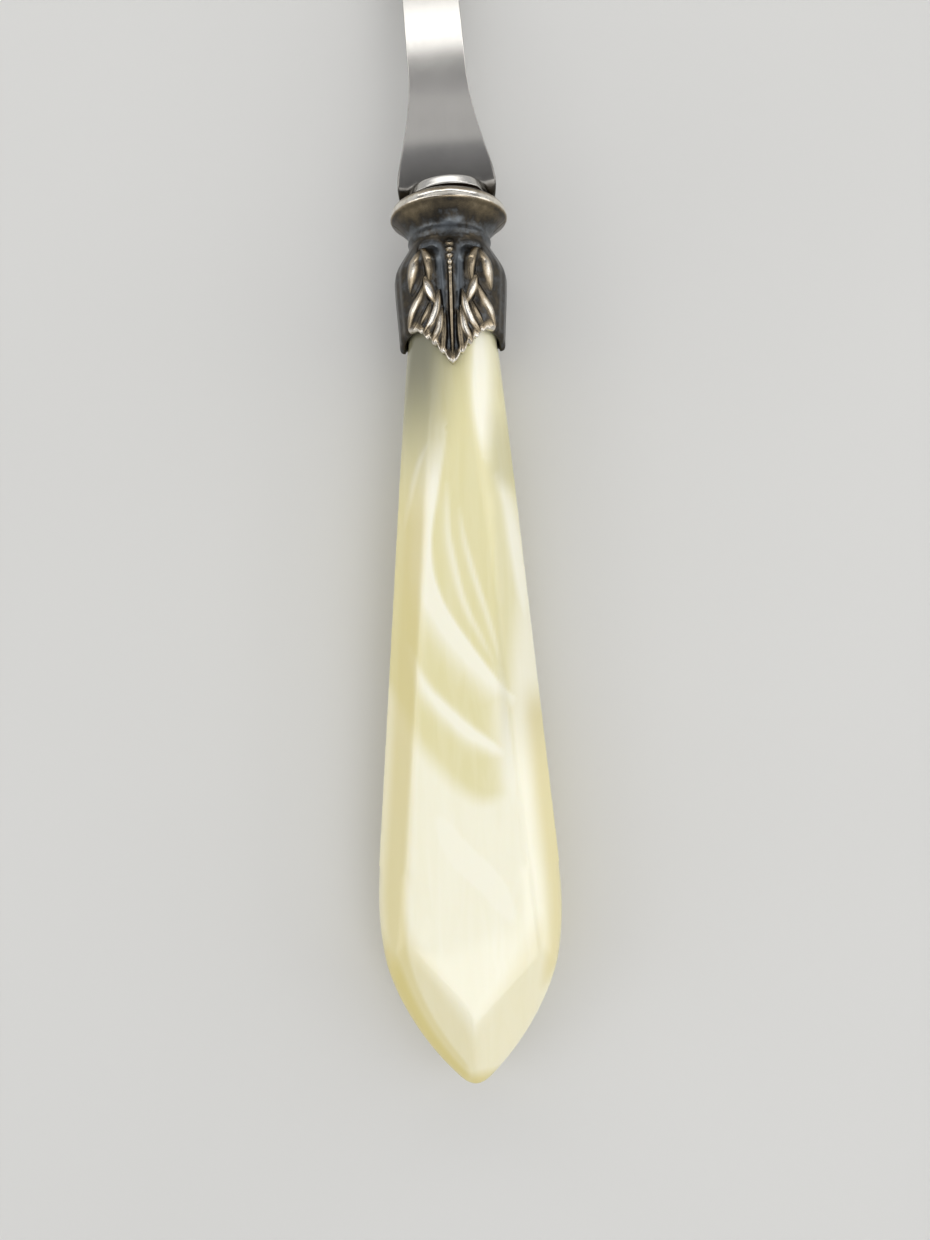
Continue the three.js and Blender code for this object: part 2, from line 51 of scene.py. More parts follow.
bl_info = {
    "name": "Dinner fork with a pearl handle",
    "version": (1, 0, 0),
    "blender": (4, 5, 0),
    "location": "3D View > Sidebar > Dinner fork",
    "description": "Builds a steel fork with a stamped leaf ferrule and a faceted pearl celluloid handle",
    "category": "Add Mesh",
}

MM = 0.001
BODY = "root"


def linear(code):
    """An sRGB hex colour as linear red, green and blue."""
    shares = [int(code[i : i + 2], 16) / 255 for i in (1, 3, 5)]
    return tuple(s / 12.92 if s <= 0.04045 else ((s + 0.055) / 1.055) ** 2.4 for s in shares)


def length(name, description, millimetres):
    """A size, given in millimetres and kept in metres."""
    return FloatProperty(name=name, description=description, default=millimetres * MM, unit="LENGTH")


def number(name, description, default):
    """An angle in degrees, a power or a share."""
    return FloatProperty(name=name, description=description, default=default)


def colour(name, description, code):
    """A colour, given as sRGB hex and kept as linear light."""
    return FloatVectorProperty(
        name=name, description=description, default=linear(code), subtype="COLOR", size=3, min=0, max=1
    )


class HandleSizes(bpy.types.PropertyGroup):
    """Sizes of the pearl celluloid handle."""

    handle_length: length("Length", "From the tip to the end hidden in the ferrule", 98)
    handle_width: length("Width", "At the widest point", 22.2)
    handle_thickness: length("Thickness", "Between the two flat facets", 11)
    neck_radius: length("Neck radius", "Where the handle meets the ferrule's edge", 5.55)
    spigot_length: length("Spigot", "End of the handle inside the ferrule", 9.3)
    spigot_step: length("Spigot step", "By which that end is slimmer than the neck", 0.15)
    end_arc_radius: length("End curve", "Outline from the widest point to the nose", 30)
    nose_radius: length("Nose", "Rounding of the tip", 2.5)
    bevel_width: length("Bevel", "Each long bevel, seen from above", 3.7)
    side_height: length("Side wall", "Between the upper and lower bevels", 4.2)
    facet_point: length("Facet point", "From the tip to the point of the flat facet", 9.7)
    facet_length: length("Facets", "From the tip to where they fade into the neck", 55)
    bore_radius: length("Bore", "Radius of the hole for the tang", 4.1)
    bore_end_gap: length("Bore end", "Cement under the end of the tang", 5)
    facet_point_angle: number("Point angle", "Degrees between the axis and the point's edges", 44)
    fade_spread: number("Fade", "Spread of the oval that rounds the neck", 1.15)


class FerruleSizes(bpy.types.PropertyGroup):
    """Sizes of the stamped ferrule."""

    collar_radius: length("Ring radius", "The wide ring next to the fork", 7.1)
    collar_depth: length("Ring depth", "From the rim to that ring's widest point", 1.9)
    rim_radius: length("Rim radius", "Opening edge under the bolster", 5.3)
    waist_radius: length("Waist radius", "Narrow neck between ring and leaves", 4.8)
    waist_depth: length("Waist depth", "From the rim to the waist", 4.7)
    bead_height: length("Bead height", "Small round moulding on the waist", 0.25)
    bead_half_width: length("Bead half width", "Of that moulding", 0.45)
    leaf_radius: length("Leaf radius", "Fullest part of the leaves", 6.75)
    leaf_depth: length("Leaf depth", "From the rim to the fullest part", 9.4)
    ferrule_wall: length("Wall", "Thickness of the stamped sheet", 0.6)
    front_tip_depth: length("Broad leaf tip", "From the rim to the broad leaves' points", 21)
    side_tip_depth: length("Side leaf tip", "From the rim to the side leaves' points", 17.9)
    valley_depth: length("Notch depth", "From the rim to the notches between leaves", 16.6)
    scallop_depth: length("Scallop", "Lobes along the leaf edges", 0.75)
    seat_gap: length("Seat gap", "Handle to ferrule", 0.2)
    seam_gap: length("Seam", "Solder line between the two halves", 0.12)
    valley_angle: number("Notch angle", "Degrees from a broad leaf's middle to the notch", 41)


class SteelSizes(bpy.types.PropertyGroup):
    """Sizes of the forged steel fork."""

    fork_length: length("Length", "From the ferrule's rim to the tine tips", 98.5)
    bolster_radius: length("Bolster radius", "Round ring that closes the neck", 5.4)
    bolster_height: length("Bolster height", "Of that ring", 1.25)
    bolster_gap: length("Bolster gap", "Dark line between fork and ferrule", 0.28)
    flare_width: length("Flare width", "Neck where it leaves the bolster", 13.2)
    flare_thickness: length("Flare thickness", "Neck where it leaves the bolster", 4.4)
    flare_length: length("Flare length", "From the bolster to the flat shank", 14)
    shank_width: length("Shank width", "Narrowest part of the neck", 7)
    shank_thickness: length("Shank thickness", "Of the flat neck", 2.7)
    shank_length: length("Shank length", "From the rim to where the head begins", 33)
    bend_start: length("Bend start", "From the rim to where the neck bends down", 10)
    head_width: length("Head width", "Across the tines", 24.4)
    heel_thickness: length("Heel thickness", "Of the head at the slots", 2.4)
    tip_thickness: length("Tip thickness", "Of the tines' ends", 1.6)
    heel_depth: length("Heel depth", "Head's lowest point under the handle's axis", 9.2)
    tip_rise: length("Tip rise", "Tine tips above that axis", 4.5)
    tine_length: length("Tine length", "From the slots' ends to the tips", 45)
    tine_width: length("Tine width", "At the root", 3.9)
    tine_end_width: length("Tine end width", "Where the rounded point begins", 3)
    tine_point: length("Tine point", "Length of the rounded point", 6)
    tang_length: length("Tang length", "Below the ferrule's rim", 42)
    tang_width: length("Tang width", "Square, next to the bolster", 4)
    tang_end_width: length("Tang end", "Square, at its end", 2)
    tine_curve: number("Tine curve", "Power of the tines' upward curve", 1.9)
    fork_lean: number("Lean", "Degrees to the left by which the tang is set askew", 3)
    tine_count: IntProperty(name="Tines", description="Number of tines", default=4, min=2, max=6)


class ForkColours(bpy.types.PropertyGroup):
    """Colours of the fork's finishes and of the floor."""

    ivory: colour("Ivory", "Pearl where it catches the light", "#fcf8e2")
    cream: colour("Cream", "Pearl between the bright bands", "#e6deaa")
    # Honey also paints shade, deeper on the handle's left bevel, left end, left point facet and lower faces
    honey: colour("Honey", "Thin or aged edges of the celluloid", "#dacb84")
    # Khaki paints shade on the pearl by the ferrule and lightly along the right edge
    khaki: colour("Khaki", "Pearl that is turned away, by the ferrule", "#74725d")
    steel: colour("Steel", "Polished forging", "#c7c4be")
    # Silver, copper, olive, grime and patina also paint highlights and dark reflections in bands and patches
    # on the ferrule's ring, cove and waist
    silver: colour("Silver", "Plating worn bright on the ribs", "#eee9de")
    copper: colour("Copper", "Base metal that shows through", "#a0927c")
    olive: colour("Olive", "Tarnish on the smooth mouldings", "#6e6350")
    patina: colour("Patina", "Blue grey tarnish in the flutes", "#6a6f73")
    # Grime also paints the shade on the steel by the bolster, and dark bands on the ferrule's cove
    grime: colour("Grime", "Brown black dirt between the leaf folds", "#3e3a34")
    cement: colour("Cement", "Resin and brick dust that hold the tang", "#6b4a36")
    floor: colour("Floor", "Pale studio floor", "#d9d8d4")


SIZE_GROUPS = {"fork_handle": HandleSizes, "fork_ferrule": FerruleSizes, "fork_steel": SteelSizes}
GROUPS = {**SIZE_GROUPS, "fork_colours": ForkColours}
MOUNT_DISTANCE = 30  # mm from the handle's tip to the record's mount on the lower facet


def sizes():
    """Every size in millimetres, counts and angles as they are, with what follows from them."""
    s = SimpleNamespace()
    for group, kind in SIZE_GROUPS.items():
        values = getattr(bpy.context.scene, group)
        for name in kind.__annotations__:
            value = getattr(values, name)
            is_length = kind.bl_rna.properties[name].unit == "LENGTH"
            setattr(s, name, value / MM if is_length else value)
    s.neck_distance = s.handle_length - s.spigot_length
    s.tip_y = -(s.neck_distance + s.side_tip_depth)
    s.edge_radius = s.neck_radius + s.seat_gap + s.ferrule_wall
    s.bolster_top = s.bolster_gap + s.bolster_height
    s.root_y = s.fork_length - s.tine_length
    s.point_start = s.fork_length - s.tine_point
    s.tine_pitch = (s.head_width - s.tine_width) / (s.tine_count - 1)
    s.slot_radius = (s.tine_pitch - s.tine_width) / 2
    return s


def lying_place(s):
    """From the handle's own frame in millimetres to the table's in metres, by the record's mount."""
    mount = frame["record"]["mounts"][0]
    normal = mount["axis"]
    pitch = Matrix.Rotation(math.atan2(normal[1], -normal[2]), 4, "X")
    local = Vector((0, s.tip_y + MOUNT_DISTANCE, -s.handle_thickness / 2))
    shift = Vector(mount["pos_m"]) / MM - pitch @ local
    return Matrix.Scale(MM, 4) @ Matrix.Translation(shift) @ pitch


def lerp(a, b, share):
    """The value that lies a share of the way from a to b."""
    return a + (b - a) * share


def smoothstep(x, start, full):
    """Rises smoothly from 0 to 1 between two values, in either direction."""
    share = np.clip((x - start) / (full - start), 0, 1)
    return share * share * (3 - 2 * share)


def coordinates(bm):
    """The places of all vertices, one row each."""
    return np.array([v.co for v in bm.verts], float)


def set_coordinates(verts, points):
    """Moves each vertex to its point."""
    for vert, point in zip(verts, points):
        vert.co = point


def only(geom, kind):
    """The vertices or the edges among what an operator gives back."""
    return [g for g in geom if isinstance(g, kind)]


def mark(bm, name, values):
    """Keeps one number for each vertex under a name that a material reads."""
    layer = bm.verts.layers.float.new(name)
    for vert, value in zip(bm.verts, values):
        vert[layer] = value


def new_object(bm, name, *materials):
    """Makes a bmesh an object of the scene."""
    mesh = bpy.data.meshes.new(name)
    bm.to_mesh(mesh)
    bm.free()
    for material in materials:
        mesh.materials.append(material)
    made = bpy.data.objects.new(name, mesh)
    bpy.context.scene.collection.objects.link(made)
    return made


def finished(bm, name, node, material):
    """Makes a bmesh a smooth piece that rides on the fork and stands for a CAD node."""
    for face in bm.faces:
        face.smooth = True
    piece = new_object(bm, name, material)
    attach(piece, BODY)
    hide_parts(node)
    return piece


def add(tree, kind, inputs=None, stops=(), output=0, **settings):
    """Adds one node with its settings, its ramp's stops, and its inputs as values or as links, and gives
    back the output to link from."""
    node = tree.nodes.new("ShaderNode" + kind)
    for name, value in settings.items():
        setattr(node, name, value)
    for key, value in (inputs or {}).items():
        if isinstance(value, bpy.types.NodeSocket):
            tree.links.new(value, node.inputs[key])
        else:
            node.inputs[key].default_value = value
    for i, (position, shade) in enumerate(stops):
        elements = node.color_ramp.elements
        stop = elements[i] if i < 2 else elements.new(position)
        stop.position = position
        stop.color = (*shade, 1)
    return node.outputs[output] if node.outputs else None


def new_material(name):
    """A material and its empty node tree."""
    material = bpy.data.materials.new(name)
    material.use_nodes = True
    material.node_tree.nodes.clear()
    return material, material.node_tree


# Handle

MERGE = 1e-3  # mm within which points count as one
ARC_STEPS = 40  # steps of the outline's end curve and of its nose
NOSE_STEPS = 10
OVAL_SEGMENTS = 96  # steps round and along the oval that rounds the neck
OVAL_STEPS = 16
OVAL_START = (1.2, 0.8)  # its half width and half height at the tip, in handle widths
OVAL_END = 1  # mm by which it reaches past the handle's end
BORE_SEGMENTS = 48
BORE_TOP = 2  # mm past the ferrule's rim to which the rod that cuts the bore reaches
HANDLE_GRAIN = 0.3  # mm between the polished handle's vertices
POLISH_ROUNDS = 3  # passes that round its edges off
END_POLISH = 27  # mm from the tip within which more passes follow
END_ROUNDS = 40


def handle_curve(s):
    """Centre and angles of the outline's end curve, between the straight taper and the nose."""
    x = s.handle_width / 2 - s.end_arc_radius
    reach = s.end_arc_radius - s.nose_radius
    distance = s.nose_radius + math.sqrt(reach**2 - x**2)
    offset = Vector((s.neck_radius - x, s.neck_distance - distance))
    taper = math.atan2(offset.y, offset.x) - math.acos(s.end_arc_radius / offset.length)
    nose = math.atan2(distance - s.nose_radius, -x)
    return SimpleNamespace(x=x, distance=distance, taper=taper, nose=nose)


def handle_blank(s):
    """The handle's outline as a slab, before its facets are cut."""
    curve = handle_curve(s)
    bm = bmesh.new()
    arc_centre = Vector((curve.x, s.tip_y + curve.distance, 0))
    towards_taper = Vector((math.cos(curve.taper), math.sin(curve.taper), 0))
    neck = bm.verts.new((s.neck_radius, s.tip_y + s.neck_distance, 0))
    end = bm.verts.new((s.neck_radius, s.tip_y + s.handle_length, 0))
    start = bm.verts.new(arc_centre + s.end_arc_radius * towards_taper)
    bmesh.ops.contextual_create(bm, geom=[end, neck])
    bmesh.ops.contextual_create(bm, geom=[neck, start])
    down = (0, 0, -1)
    sweep = curve.taper + curve.nose
    arc = bmesh.ops.spin(bm, geom=[start], cent=arc_centre, axis=down, angle=sweep, steps=ARC_STEPS)
    last = only(arc["geom_last"], BMVert)
    nose_centre = (0, s.tip_y + s.nose_radius, 0)
    rest = math.pi / 2 - curve.nose
    bmesh.ops.spin(bm, geom=last, cent=nose_centre, axis=down, angle=rest, steps=NOSE_STEPS)
    bmesh.ops.mirror(bm, geom=bm.verts[:] + bm.edges[:], axis="X", merge_dist=MERGE)
    ends = [v for v in bm.verts if v.co.y > s.tip_y + s.handle_length - MERGE]
    bmesh.ops.contextual_create(bm, geom=ends)
    face = bmesh.ops.contextual_create(bm, geom=bm.edges[:])["faces"]
    bmesh.ops.translate(bm, vec=(0, 0, -s.handle_thickness / 2), verts=bm.verts[:])
    grown = bmesh.ops.extrude_face_region(bm, geom=face, use_keep_orig=True)["geom"]
    bmesh.ops.translate(bm, vec=(0, 0, s.handle_thickness), verts=only(grown, BMVert))
    bmesh.ops.recalc_face_normals(bm, faces=bm.faces[:])
    return bm


def facet_planes(s):
    """The long bevels and the facets at the tip, each as three points of a plane."""
    curve = handle_curve(s)
    start = curve.distance + s.end_arc_radius * math.sin(curve.taper)
    edge = curve.x + s.end_arc_radius * math.cos(curve.taper)
    run = s.handle_width
    spread = run * math.tan(math.radians(s.facet_point_angle))
    for side in (1, -1):
        for face in (1, -1):
            wall, top = face * s.side_height / 2, face * s.handle_thickness / 2
            along = (edge, start, wall), (s.neck_radius, s.neck_distance, wall)
            bevel = (*along, (edge - s.bevel_width, start, top))
            tip = (0, 0, wall), (0, s.facet_point, top), (spread, s.facet_point + run, top)
            for points in (bevel, tip):
                yield [Vector((side * x, s.tip_y + y, z)) for x, y, z in points]


def taper_half_width(s, distance):
    """Half the width of the straight taper towards the neck, at distances from the tip."""
    return s.neck_radius + (s.neck_distance - distance) * math.tan(handle_curve(s).taper)


def neck_rounding(s):
    """Oval body, slim and round at the ferrule, that the faceted slab fades into."""
    bm = bmesh.new()
    ring = bmesh.ops.create_circle(bm, segments=OVAL_SEGMENTS, radius=1, cap_ends=True)["verts"]
    spots = [(-s.nose_radius, *(s.handle_width * share for share in OVAL_START))]
    for i in range(OVAL_STEPS + 1):
        share = i / OVAL_STEPS
        distance = lerp(s.facet_length, s.neck_distance, share)
        spread = lerp(s.fade_spread, 1, share)
        height = lerp(s.handle_thickness / 2, s.neck_radius, share)
        spots.append((distance, spread * taper_half_width(s, distance), spread * height))
    spigot = s.neck_radius - s.spigot_step
    spots += [(s.neck_distance, spigot, spigot), (s.handle_length + OVAL_END, spigot, spigot)]
    turns = [math.atan2(v.co.y, v.co.x) for v in ring]
    for i, (distance, width, height) in enumerate(spots):
        if i:
            edges = [e for e in bm.edges if all(v in ring for v in e.verts)]
            ring = only(bmesh.ops.extrude_edge_only(bm, edges=edges)["geom"], BMVert)
            turns = [math.atan2(v.co.z / past[1], v.co.x / past[0]) for v in ring]
        past = (width, height)
        y = s.tip_y + distance
        set_coordinates(ring, [(width * math.cos(t), y, height * math.sin(t)) for t in turns])
    bmesh.ops.contextual_create(bm, geom=[e for e in bm.edges if e.is_boundary])
    bmesh.ops.recalc_face_normals(bm, faces=bm.faces[:])
    return bm


def bore(s):
    """The blind hole for the tang, as a rod to cut with."""
    bm = bmesh.new()
    bottom = -(s.tang_length + s.bore_end_gap)
    depth = BORE_TOP - bottom
    radii = {"radius1": s.bore_radius, "radius2": s.bore_radius}
    bmesh.ops.create_cone(bm, cap_ends=True, segments=BORE_SEGMENTS, depth=depth, **radii)
    bmesh.ops.rotate(bm, cent=(0, 0, 0), matrix=Matrix.Rotation(math.pi / 2, 3, "X"), verts=bm.verts[:])
    bmesh.ops.translate(bm, vec=(0, bottom + depth / 2, 0), verts=bm.verts[:])
    return bm


# Bright bands that flow through the pearl like folds of silk: how far each fades on the left and on
# the right of its run in mm, its strength, and points as mm across the handle and from its tip.
PEARL_BANDS = [
    (0.4, 2.3, 1.15,
     [(-1.2, 78), (-2.7, 70.4), (-3.7, 66), (-3.7, 62), (-2.4, 57.6), (1.4, 52), (4.7, 47.6), (8, 45)]),
    (0.6, 1.2, 0.95,
     [(-6.2, 52.6), (-5.2, 50), (-4, 47.8), (-1.8, 45.5), (0.3, 43.3), (4.5, 40.6), (7.5, 37)]),
    (0.3, 0.5, 0.55, [(-1.2, 72), (-1.2, 66), (0, 59.4), (0.9, 56.8), (2.2, 54.2), (3.6, 51.2)]),
    (0.3, 0.4, 0.5, [(0.2, 69), (0.6, 65.5), (1.6, 61.4), (2.8, 57.5), (4, 53), (4.4, 50.5)]),
    (0.5, 0.4, 0.6, [(-3.2, 77), (-4.8, 74), (-5.9, 70.4), (-7, 66)]),
    (1.3, 0.6, 1.0, [(2.9, 92), (2.6, 83.3), (2.7, 80), (3.2, 75)]),
    (1.0, 0.6, 0.9, [(4.4, 72.4), (5.4, 69.4), (6, 65), (6.7, 59.7), (7.4, 52)]),
    (0.6, 1.8, 0.8, [(4.4, 50), (4.9, 44), (5.6, 36), (6.4, 28)]),
    (2.2, 2.6, 1.05, [(-5, 36), (-1, 29), (3, 25), (6.5, 18)]),
]
BAND_LEAN = (0.2, 0.3)  # mm by which the bands shift across and along for each mm of depth
BAND_END = 0.02  # share of a band's run that stays out at either end
BAND_END_WIDTH = 0.5  # share of its width that a band keeps at its ends

# The line that bounds the plain ivory of the handle's broad end, how bright that is, and from how far
# on the line's left to how far on its right it comes in, in mm.
IVORY_EDGE = [
    (-16, 54), (-10.5, 49.5), (-7, 46), (-5.6, 43.5), (-3.5, 40), (-0.9, 37.3), (1.5, 34.9), (2.9, 33.7),
    (3.9, 35), (4.3, 37.5), (4.6, 41), (4.9, 46), (5.2, 52), (6, 60), (9, 70),
]
IVORY_LEVEL = 0.64
IVORY_FADE = (0.6, -2)
STROKE_STEPS = 48
STROKE_ROUNDS = 12  # passes that round a stroke's corners
LEAST_RUN = 1e-9  # mm2, so that a step of no length doesn't divide by zero

# Patches of another tone on the handle: strength, then the ranges that bound the patch. Each range names a
# measure in mm, the values where the patch starts and where it is full, and the share left before its start.
# Honey on thin edges, painted deeper as shade on the left bevel, the left end, the left point facet and the
# lower faces
WARM_AND_SHADE_PATCHES = [
    (0.75, ("x", 0.5, -1.5, 0), ("bevel", 0.5, -0.8, 0), ("inset", 0.2, 1.6, 0.5), ("distance", 78, 66, 0)),
    (1, ("x", 2.5, -1.5, 0), ("distance", 26, 14, 0), ("inset", 4.2, 1.5, 0)),
    (1, ("distance", 4, 0.5, 0)),
    (0.45, ("point", 10.5, 5.5, 0), ("x", 1, -1, 2 / 3)),
    (0.7, ("x", 0, 1, 0), ("inset", 3.4, 0.9, 0), ("distance", 8, 16, 0), ("distance", 50, 44, 0)),
    (0.3, ("z", 1, -2.5, 0)),
]
# Painted shade on the pearl: by the ferrule, most on the left and on top, and lightly along the right edge
SHADE_PATCHES = [
    (0.95, ("neck", 0, 1, 0), ("x", 1.8, -3.6, 0.35), ("x", 2.2, 1.2, 0.3), ("z", 0, 3, 0.5)),
    (0.34, ("x", 2.8, 5.2, 0), ("distance", 68, 74, 0), ("distance", 86, 76, 0)),
    (0.15, ("x", 3.6, 4.8, 0), ("distance", 36, 46, 0)),
]
POINT_SLANT = 1.6  # mm along for each mm across, by which the honey and painted shade on the facets at the tip slant
NECK_SIDES = (1.8, -3.6)  # mm across, from the right of the painted shade on the neck to its left
NECK_START = (78, 69)  # mm from the tip where the painted shade on the neck starts and is full, on its right and left
NECK_FULL = (92, 88)


def along_stroke(points, stroke):
    """Signed distance of flat points from a stroke, more on its left, and the share of it they lie by."""
    knots = np.array(stroke, float)
    runs = np.linalg.norm(np.diff(knots, axis=0), axis=1)
    places = np.concatenate([[0], np.cumsum(runs)]) / runs.sum()
    shares = np.linspace(0, 1, STROKE_STEPS + 1)
    path = np.stack([np.interp(shares, places, knots[:, i]) for i in (0, 1)], 1)
    for _ in range(STROKE_ROUNDS):
        path[1:-1] = (path[:-2] + 2 * path[1:-1] + path[2:]) / 4
    nearest = np.full(len(points), np.inf)
    place = np.zeros(len(points))
    for i in range(STROKE_STEPS):
        start, run = path[i], path[i + 1] - path[i]
        away = points - start
        share = np.clip((away @ run) / max(run @ run, LEAST_RUN), 0, 1)
        gap = np.linalg.norm(away - share[:, None] * run, axis=1)
        side = np.where(run[0] * away[:, 1] - run[1] * away[:, 0] < 0, -1, 1)
        closer = gap < np.abs(nearest)
        nearest = np.where(closer, side * gap, nearest)
        place = np.where(closer, (i + share) / STROKE_STEPS, place)
    return nearest, place


def handle_half_width(s, distance):
    """Half the width of the handle's outline at distances from its tip."""
    curve = handle_curve(s)
    nose = np.sqrt(np.clip(s.nose_radius**2 - (s.nose_radius - distance) ** 2, 0, None))
    arc = curve.x + np.sqrt(np.clip(s.end_arc_radius**2 - (distance - curve.distance) ** 2, 0, None))
    nose_end = s.nose_radius * (1 - math.sin(curve.nose))
    taper_start = curve.distance + s.end_arc_radius * math.sin(curve.taper)
    ranges = [distance < nose_end, distance < taper_start]
    return np.select(ranges, [nose, arc], taper_half_width(s, distance))


def pearl_share(s, points):
    """How brightly the pearl shines at each point: bands that lean through the slab's thickness."""
    depth = s.handle_thickness / 2 - points[:, 2]
    across, along = BAND_LEAN
    flat = np.stack([points[:, 0] - across * depth, points[:, 1] - s.tip_y - along * depth], 1)
    shine = np.zeros(len(points))
    for left, right, strength, stroke in PEARL_BANDS:
        gap, place = along_stroke(flat, stroke)
        ends = np.sqrt(np.sin(math.pi * np.clip(place, BAND_END, 1 - BAND_END)))
        fade = np.where(gap > 0, left, right) * lerp(BAND_END_WIDTH, 1, ends)
        shine = np.maximum(shine, strength * ends * np.exp(-((gap / fade) ** 2)))
    gap, _ = along_stroke(flat, IVORY_EDGE)
    return np.maximum(shine, IVORY_LEVEL * smoothstep(gap, *IVORY_FADE))


def pearl_tones(s, points):
    """Where the celluloid is warmer, at thin or aged edges, deepened by painted shade on the left and lower
    faces, and where painted shade darkens it by the ferrule.
    """
    x, distance = points[:, 0], points[:, 1] - s.tip_y
    inset = handle_half_width(s, distance) - np.abs(x)
    left = smoothstep(x, *NECK_SIDES)
    start, full = lerp(*NECK_START, left), lerp(*NECK_FULL, left)
    measures = {
        "x": x,
        "z": points[:, 2],
        "distance": distance,
        "inset": inset,
        "bevel": inset - s.bevel_width,
        "point": distance - POINT_SLANT * np.abs(x),
        "neck": (distance - start) / (full - start),
    }

    def tone(patches):
        shares = []
        for share, *ranges in patches:
            for measure, start, full, left_over in ranges:
                share = share * lerp(left_over, 1, smoothstep(measures[measure], start, full))
            shares.append(share)
        return np.maximum.reduce(shares)

    return tone(WARM_AND_SHADE_PATCHES), tone(SHADE_PATCHES)


def pearl_celluloid():
    """Pearl celluloid, cut from a slab and polished: glossy, with satin bands of ivory and cream that
    seem to lie under the surface, a warmer tone where the edges are thin, deepened by painted shade on the
    left and lower faces, and khaki painted shade by the ferrule."""
    shades = bpy.context.scene.fork_colours
    material, tree = new_material("pearl_celluloid_polished")
    place = add(tree, "TexCoord", output="Object")
    streaks = [1 / (size * MM) for size in (1.6, 14, 5)]
    grain = add(tree, "Mapping", {"Vector": place, "Rotation": (0, 0, 0.3), "Scale": streaks})
    satin = add(tree, "TexNoise", {"Vector": grain, "Scale": 1, "Detail": 4, "Distortion": 1.2})
    shine = add(tree, "Attribute", output="Fac", attribute_name="pearl")
    # honey on thin edges, with painted shade on the left and lower faces
    edge = add(tree, "Attribute", output="Fac", attribute_name="warmth_and_shade")
    # painted shade on the pearl by the ferrule
    shade_mask = add(tree, "Attribute", output="Fac", attribute_name="painted_shade")
    stirred = add(tree, "Math", {0: satin, 1: 0.32, 2: shine}, operation="MULTIPLY_ADD")
    between = lerp(shades.cream, shades.ivory, 0.4)
    stops = [(0.12, shades.cream), (0.9, shades.ivory), (0.4, between)]
    bands = add(tree, "ValToRGB", {"Fac": stirred}, stops)
    # the honey with its painted shade is mixed in, then the khaki painted shade by the ferrule
    warmed_and_shaded = add(tree, "Mix", {0: edge, 6: bands, 7: (*shades.honey, 1)}, output=2, data_type="RGBA")
    shaded = add(tree, "Mix", {0: shade_mask, 6: warmed_and_shaded, 7: (*shades.khaki, 1)}, output=2, data_type="RGBA")
    ripple = add(tree, "Bump", {"Height": stirred, "Strength": 0.25, "Distance": 0.4 * MM})
    surface = {
        "Base Color": shaded,
        "Normal": ripple,
        "Roughness": 0.38,
        "IOR": 1.5,
        "Subsurface Weight": 0.12,
        "Subsurface Radius": (1, 0.8, 0.5),
        "Subsurface Scale": 1.2 * MM,
        "Coat Weight": 0.7,
        "Coat Roughness": 0.06,
    }
    add(tree, "OutputMaterial", {"Surface": add(tree, "BsdfPrincipled", surface)})
    return material


class FORK_OT_handle(bpy.types.Operator):
    """Cut the faceted handle from its slab, round its neck, bore it and polish it"""

    bl_idname = "dinner_fork.handle"
    bl_label = "Pearl handle"

    def execute(self, context):
        s = sizes()
        bm = handle_blank(s)
        for a, b, c in facet_planes(s):
            normal = (b - a).cross(c - a).normalized()
            if normal.dot(a - Vector((0, a.y, 0))) < 0:
                normal.negate()
            geom = bm.verts[:] + bm.edges[:] + bm.faces[:]
            cut = bmesh.ops.bisect_plane(bm, geom=geom, plane_co=a, plane_no=normal, clear_outer=True)
            bmesh.ops.contextual_create(bm, geom=only(cut["geom_cut"], BMEdge))
        bmesh.ops.recalc_face_normals(bm, faces=bm.faces[:])
        slab = new_object(bm, "handle_slab")
        oval = new_object(neck_rounding(s), "neck_oval")
        rod = new_object(bore(s), "bore_rod")
        for operation, tool in (("INTERSECT", oval), ("DIFFERENCE", rod)):
            modifier = slab.modifiers.new(operation.lower(), "BOOLEAN")
            modifier.operation = operation
            modifier.object = tool
            modifier.solver = "EXACT"
        remesh = slab.modifiers.new("grain", "REMESH")
        remesh.mode = "VOXEL"
        remesh.voxel_size = HANDLE_GRAIN
        context.view_layer.update()
        made = bpy.data.meshes.new_from_object(slab.evaluated_get(context.evaluated_depsgraph_get()))
        bm = bmesh.new()
        bm.from_mesh(made)
        for leftover in (slab, oval, rod):
            bpy.data.objects.remove(leftover)
        if not bm.faces:
            raise RuntimeError("the handle's cuts left nothing")
        end = [v for v in bm.verts if v.co.y < s.tip_y + END_POLISH]
        axes = {f"use_axis_{axis}": True for axis in "xyz"}
        for verts, rounds in ((bm.verts[:], POLISH_ROUNDS), (end, END_ROUNDS)):
            for _ in range(rounds):
                bmesh.ops.smooth_vert(bm, verts=verts, factor=0.5, **axes)
        points = coordinates(bm)
        # honey edges with painted shade on the left and lower faces, and painted shade by the ferrule
        warmth_and_shade, painted_shade = pearl_tones(s, points)
        mark(bm, "pearl", pearl_share(s, points))
        mark(bm, "warmth_and_shade", warmth_and_shade)
        mark(bm, "painted_shade", painted_shade)
        bmesh.ops.transform(bm, matrix=lying_place(s), verts=bm.verts[:])
        finished(bm, "pearl_handle", "handle", pearl_celluloid())
        return {"FINISHED"}


# Ferrule

COLLAR_CURVE = 3  # powers that shape the wide ring's outline and the leaves' edges
LEAF_EDGE_CURVE = 1.6
SIDE_EDGE_CURVE = 2.4
LOBE_COUNT = 5
LOBE_SWELL = 3.4  # by which the lobes grow towards the middle of a leaf's edge
WAIST_RUN = 1  # mm from the waist to where the leaves start
RELIEF_RUN = 0.1  # share of a leaf's length over which its relief rises from there

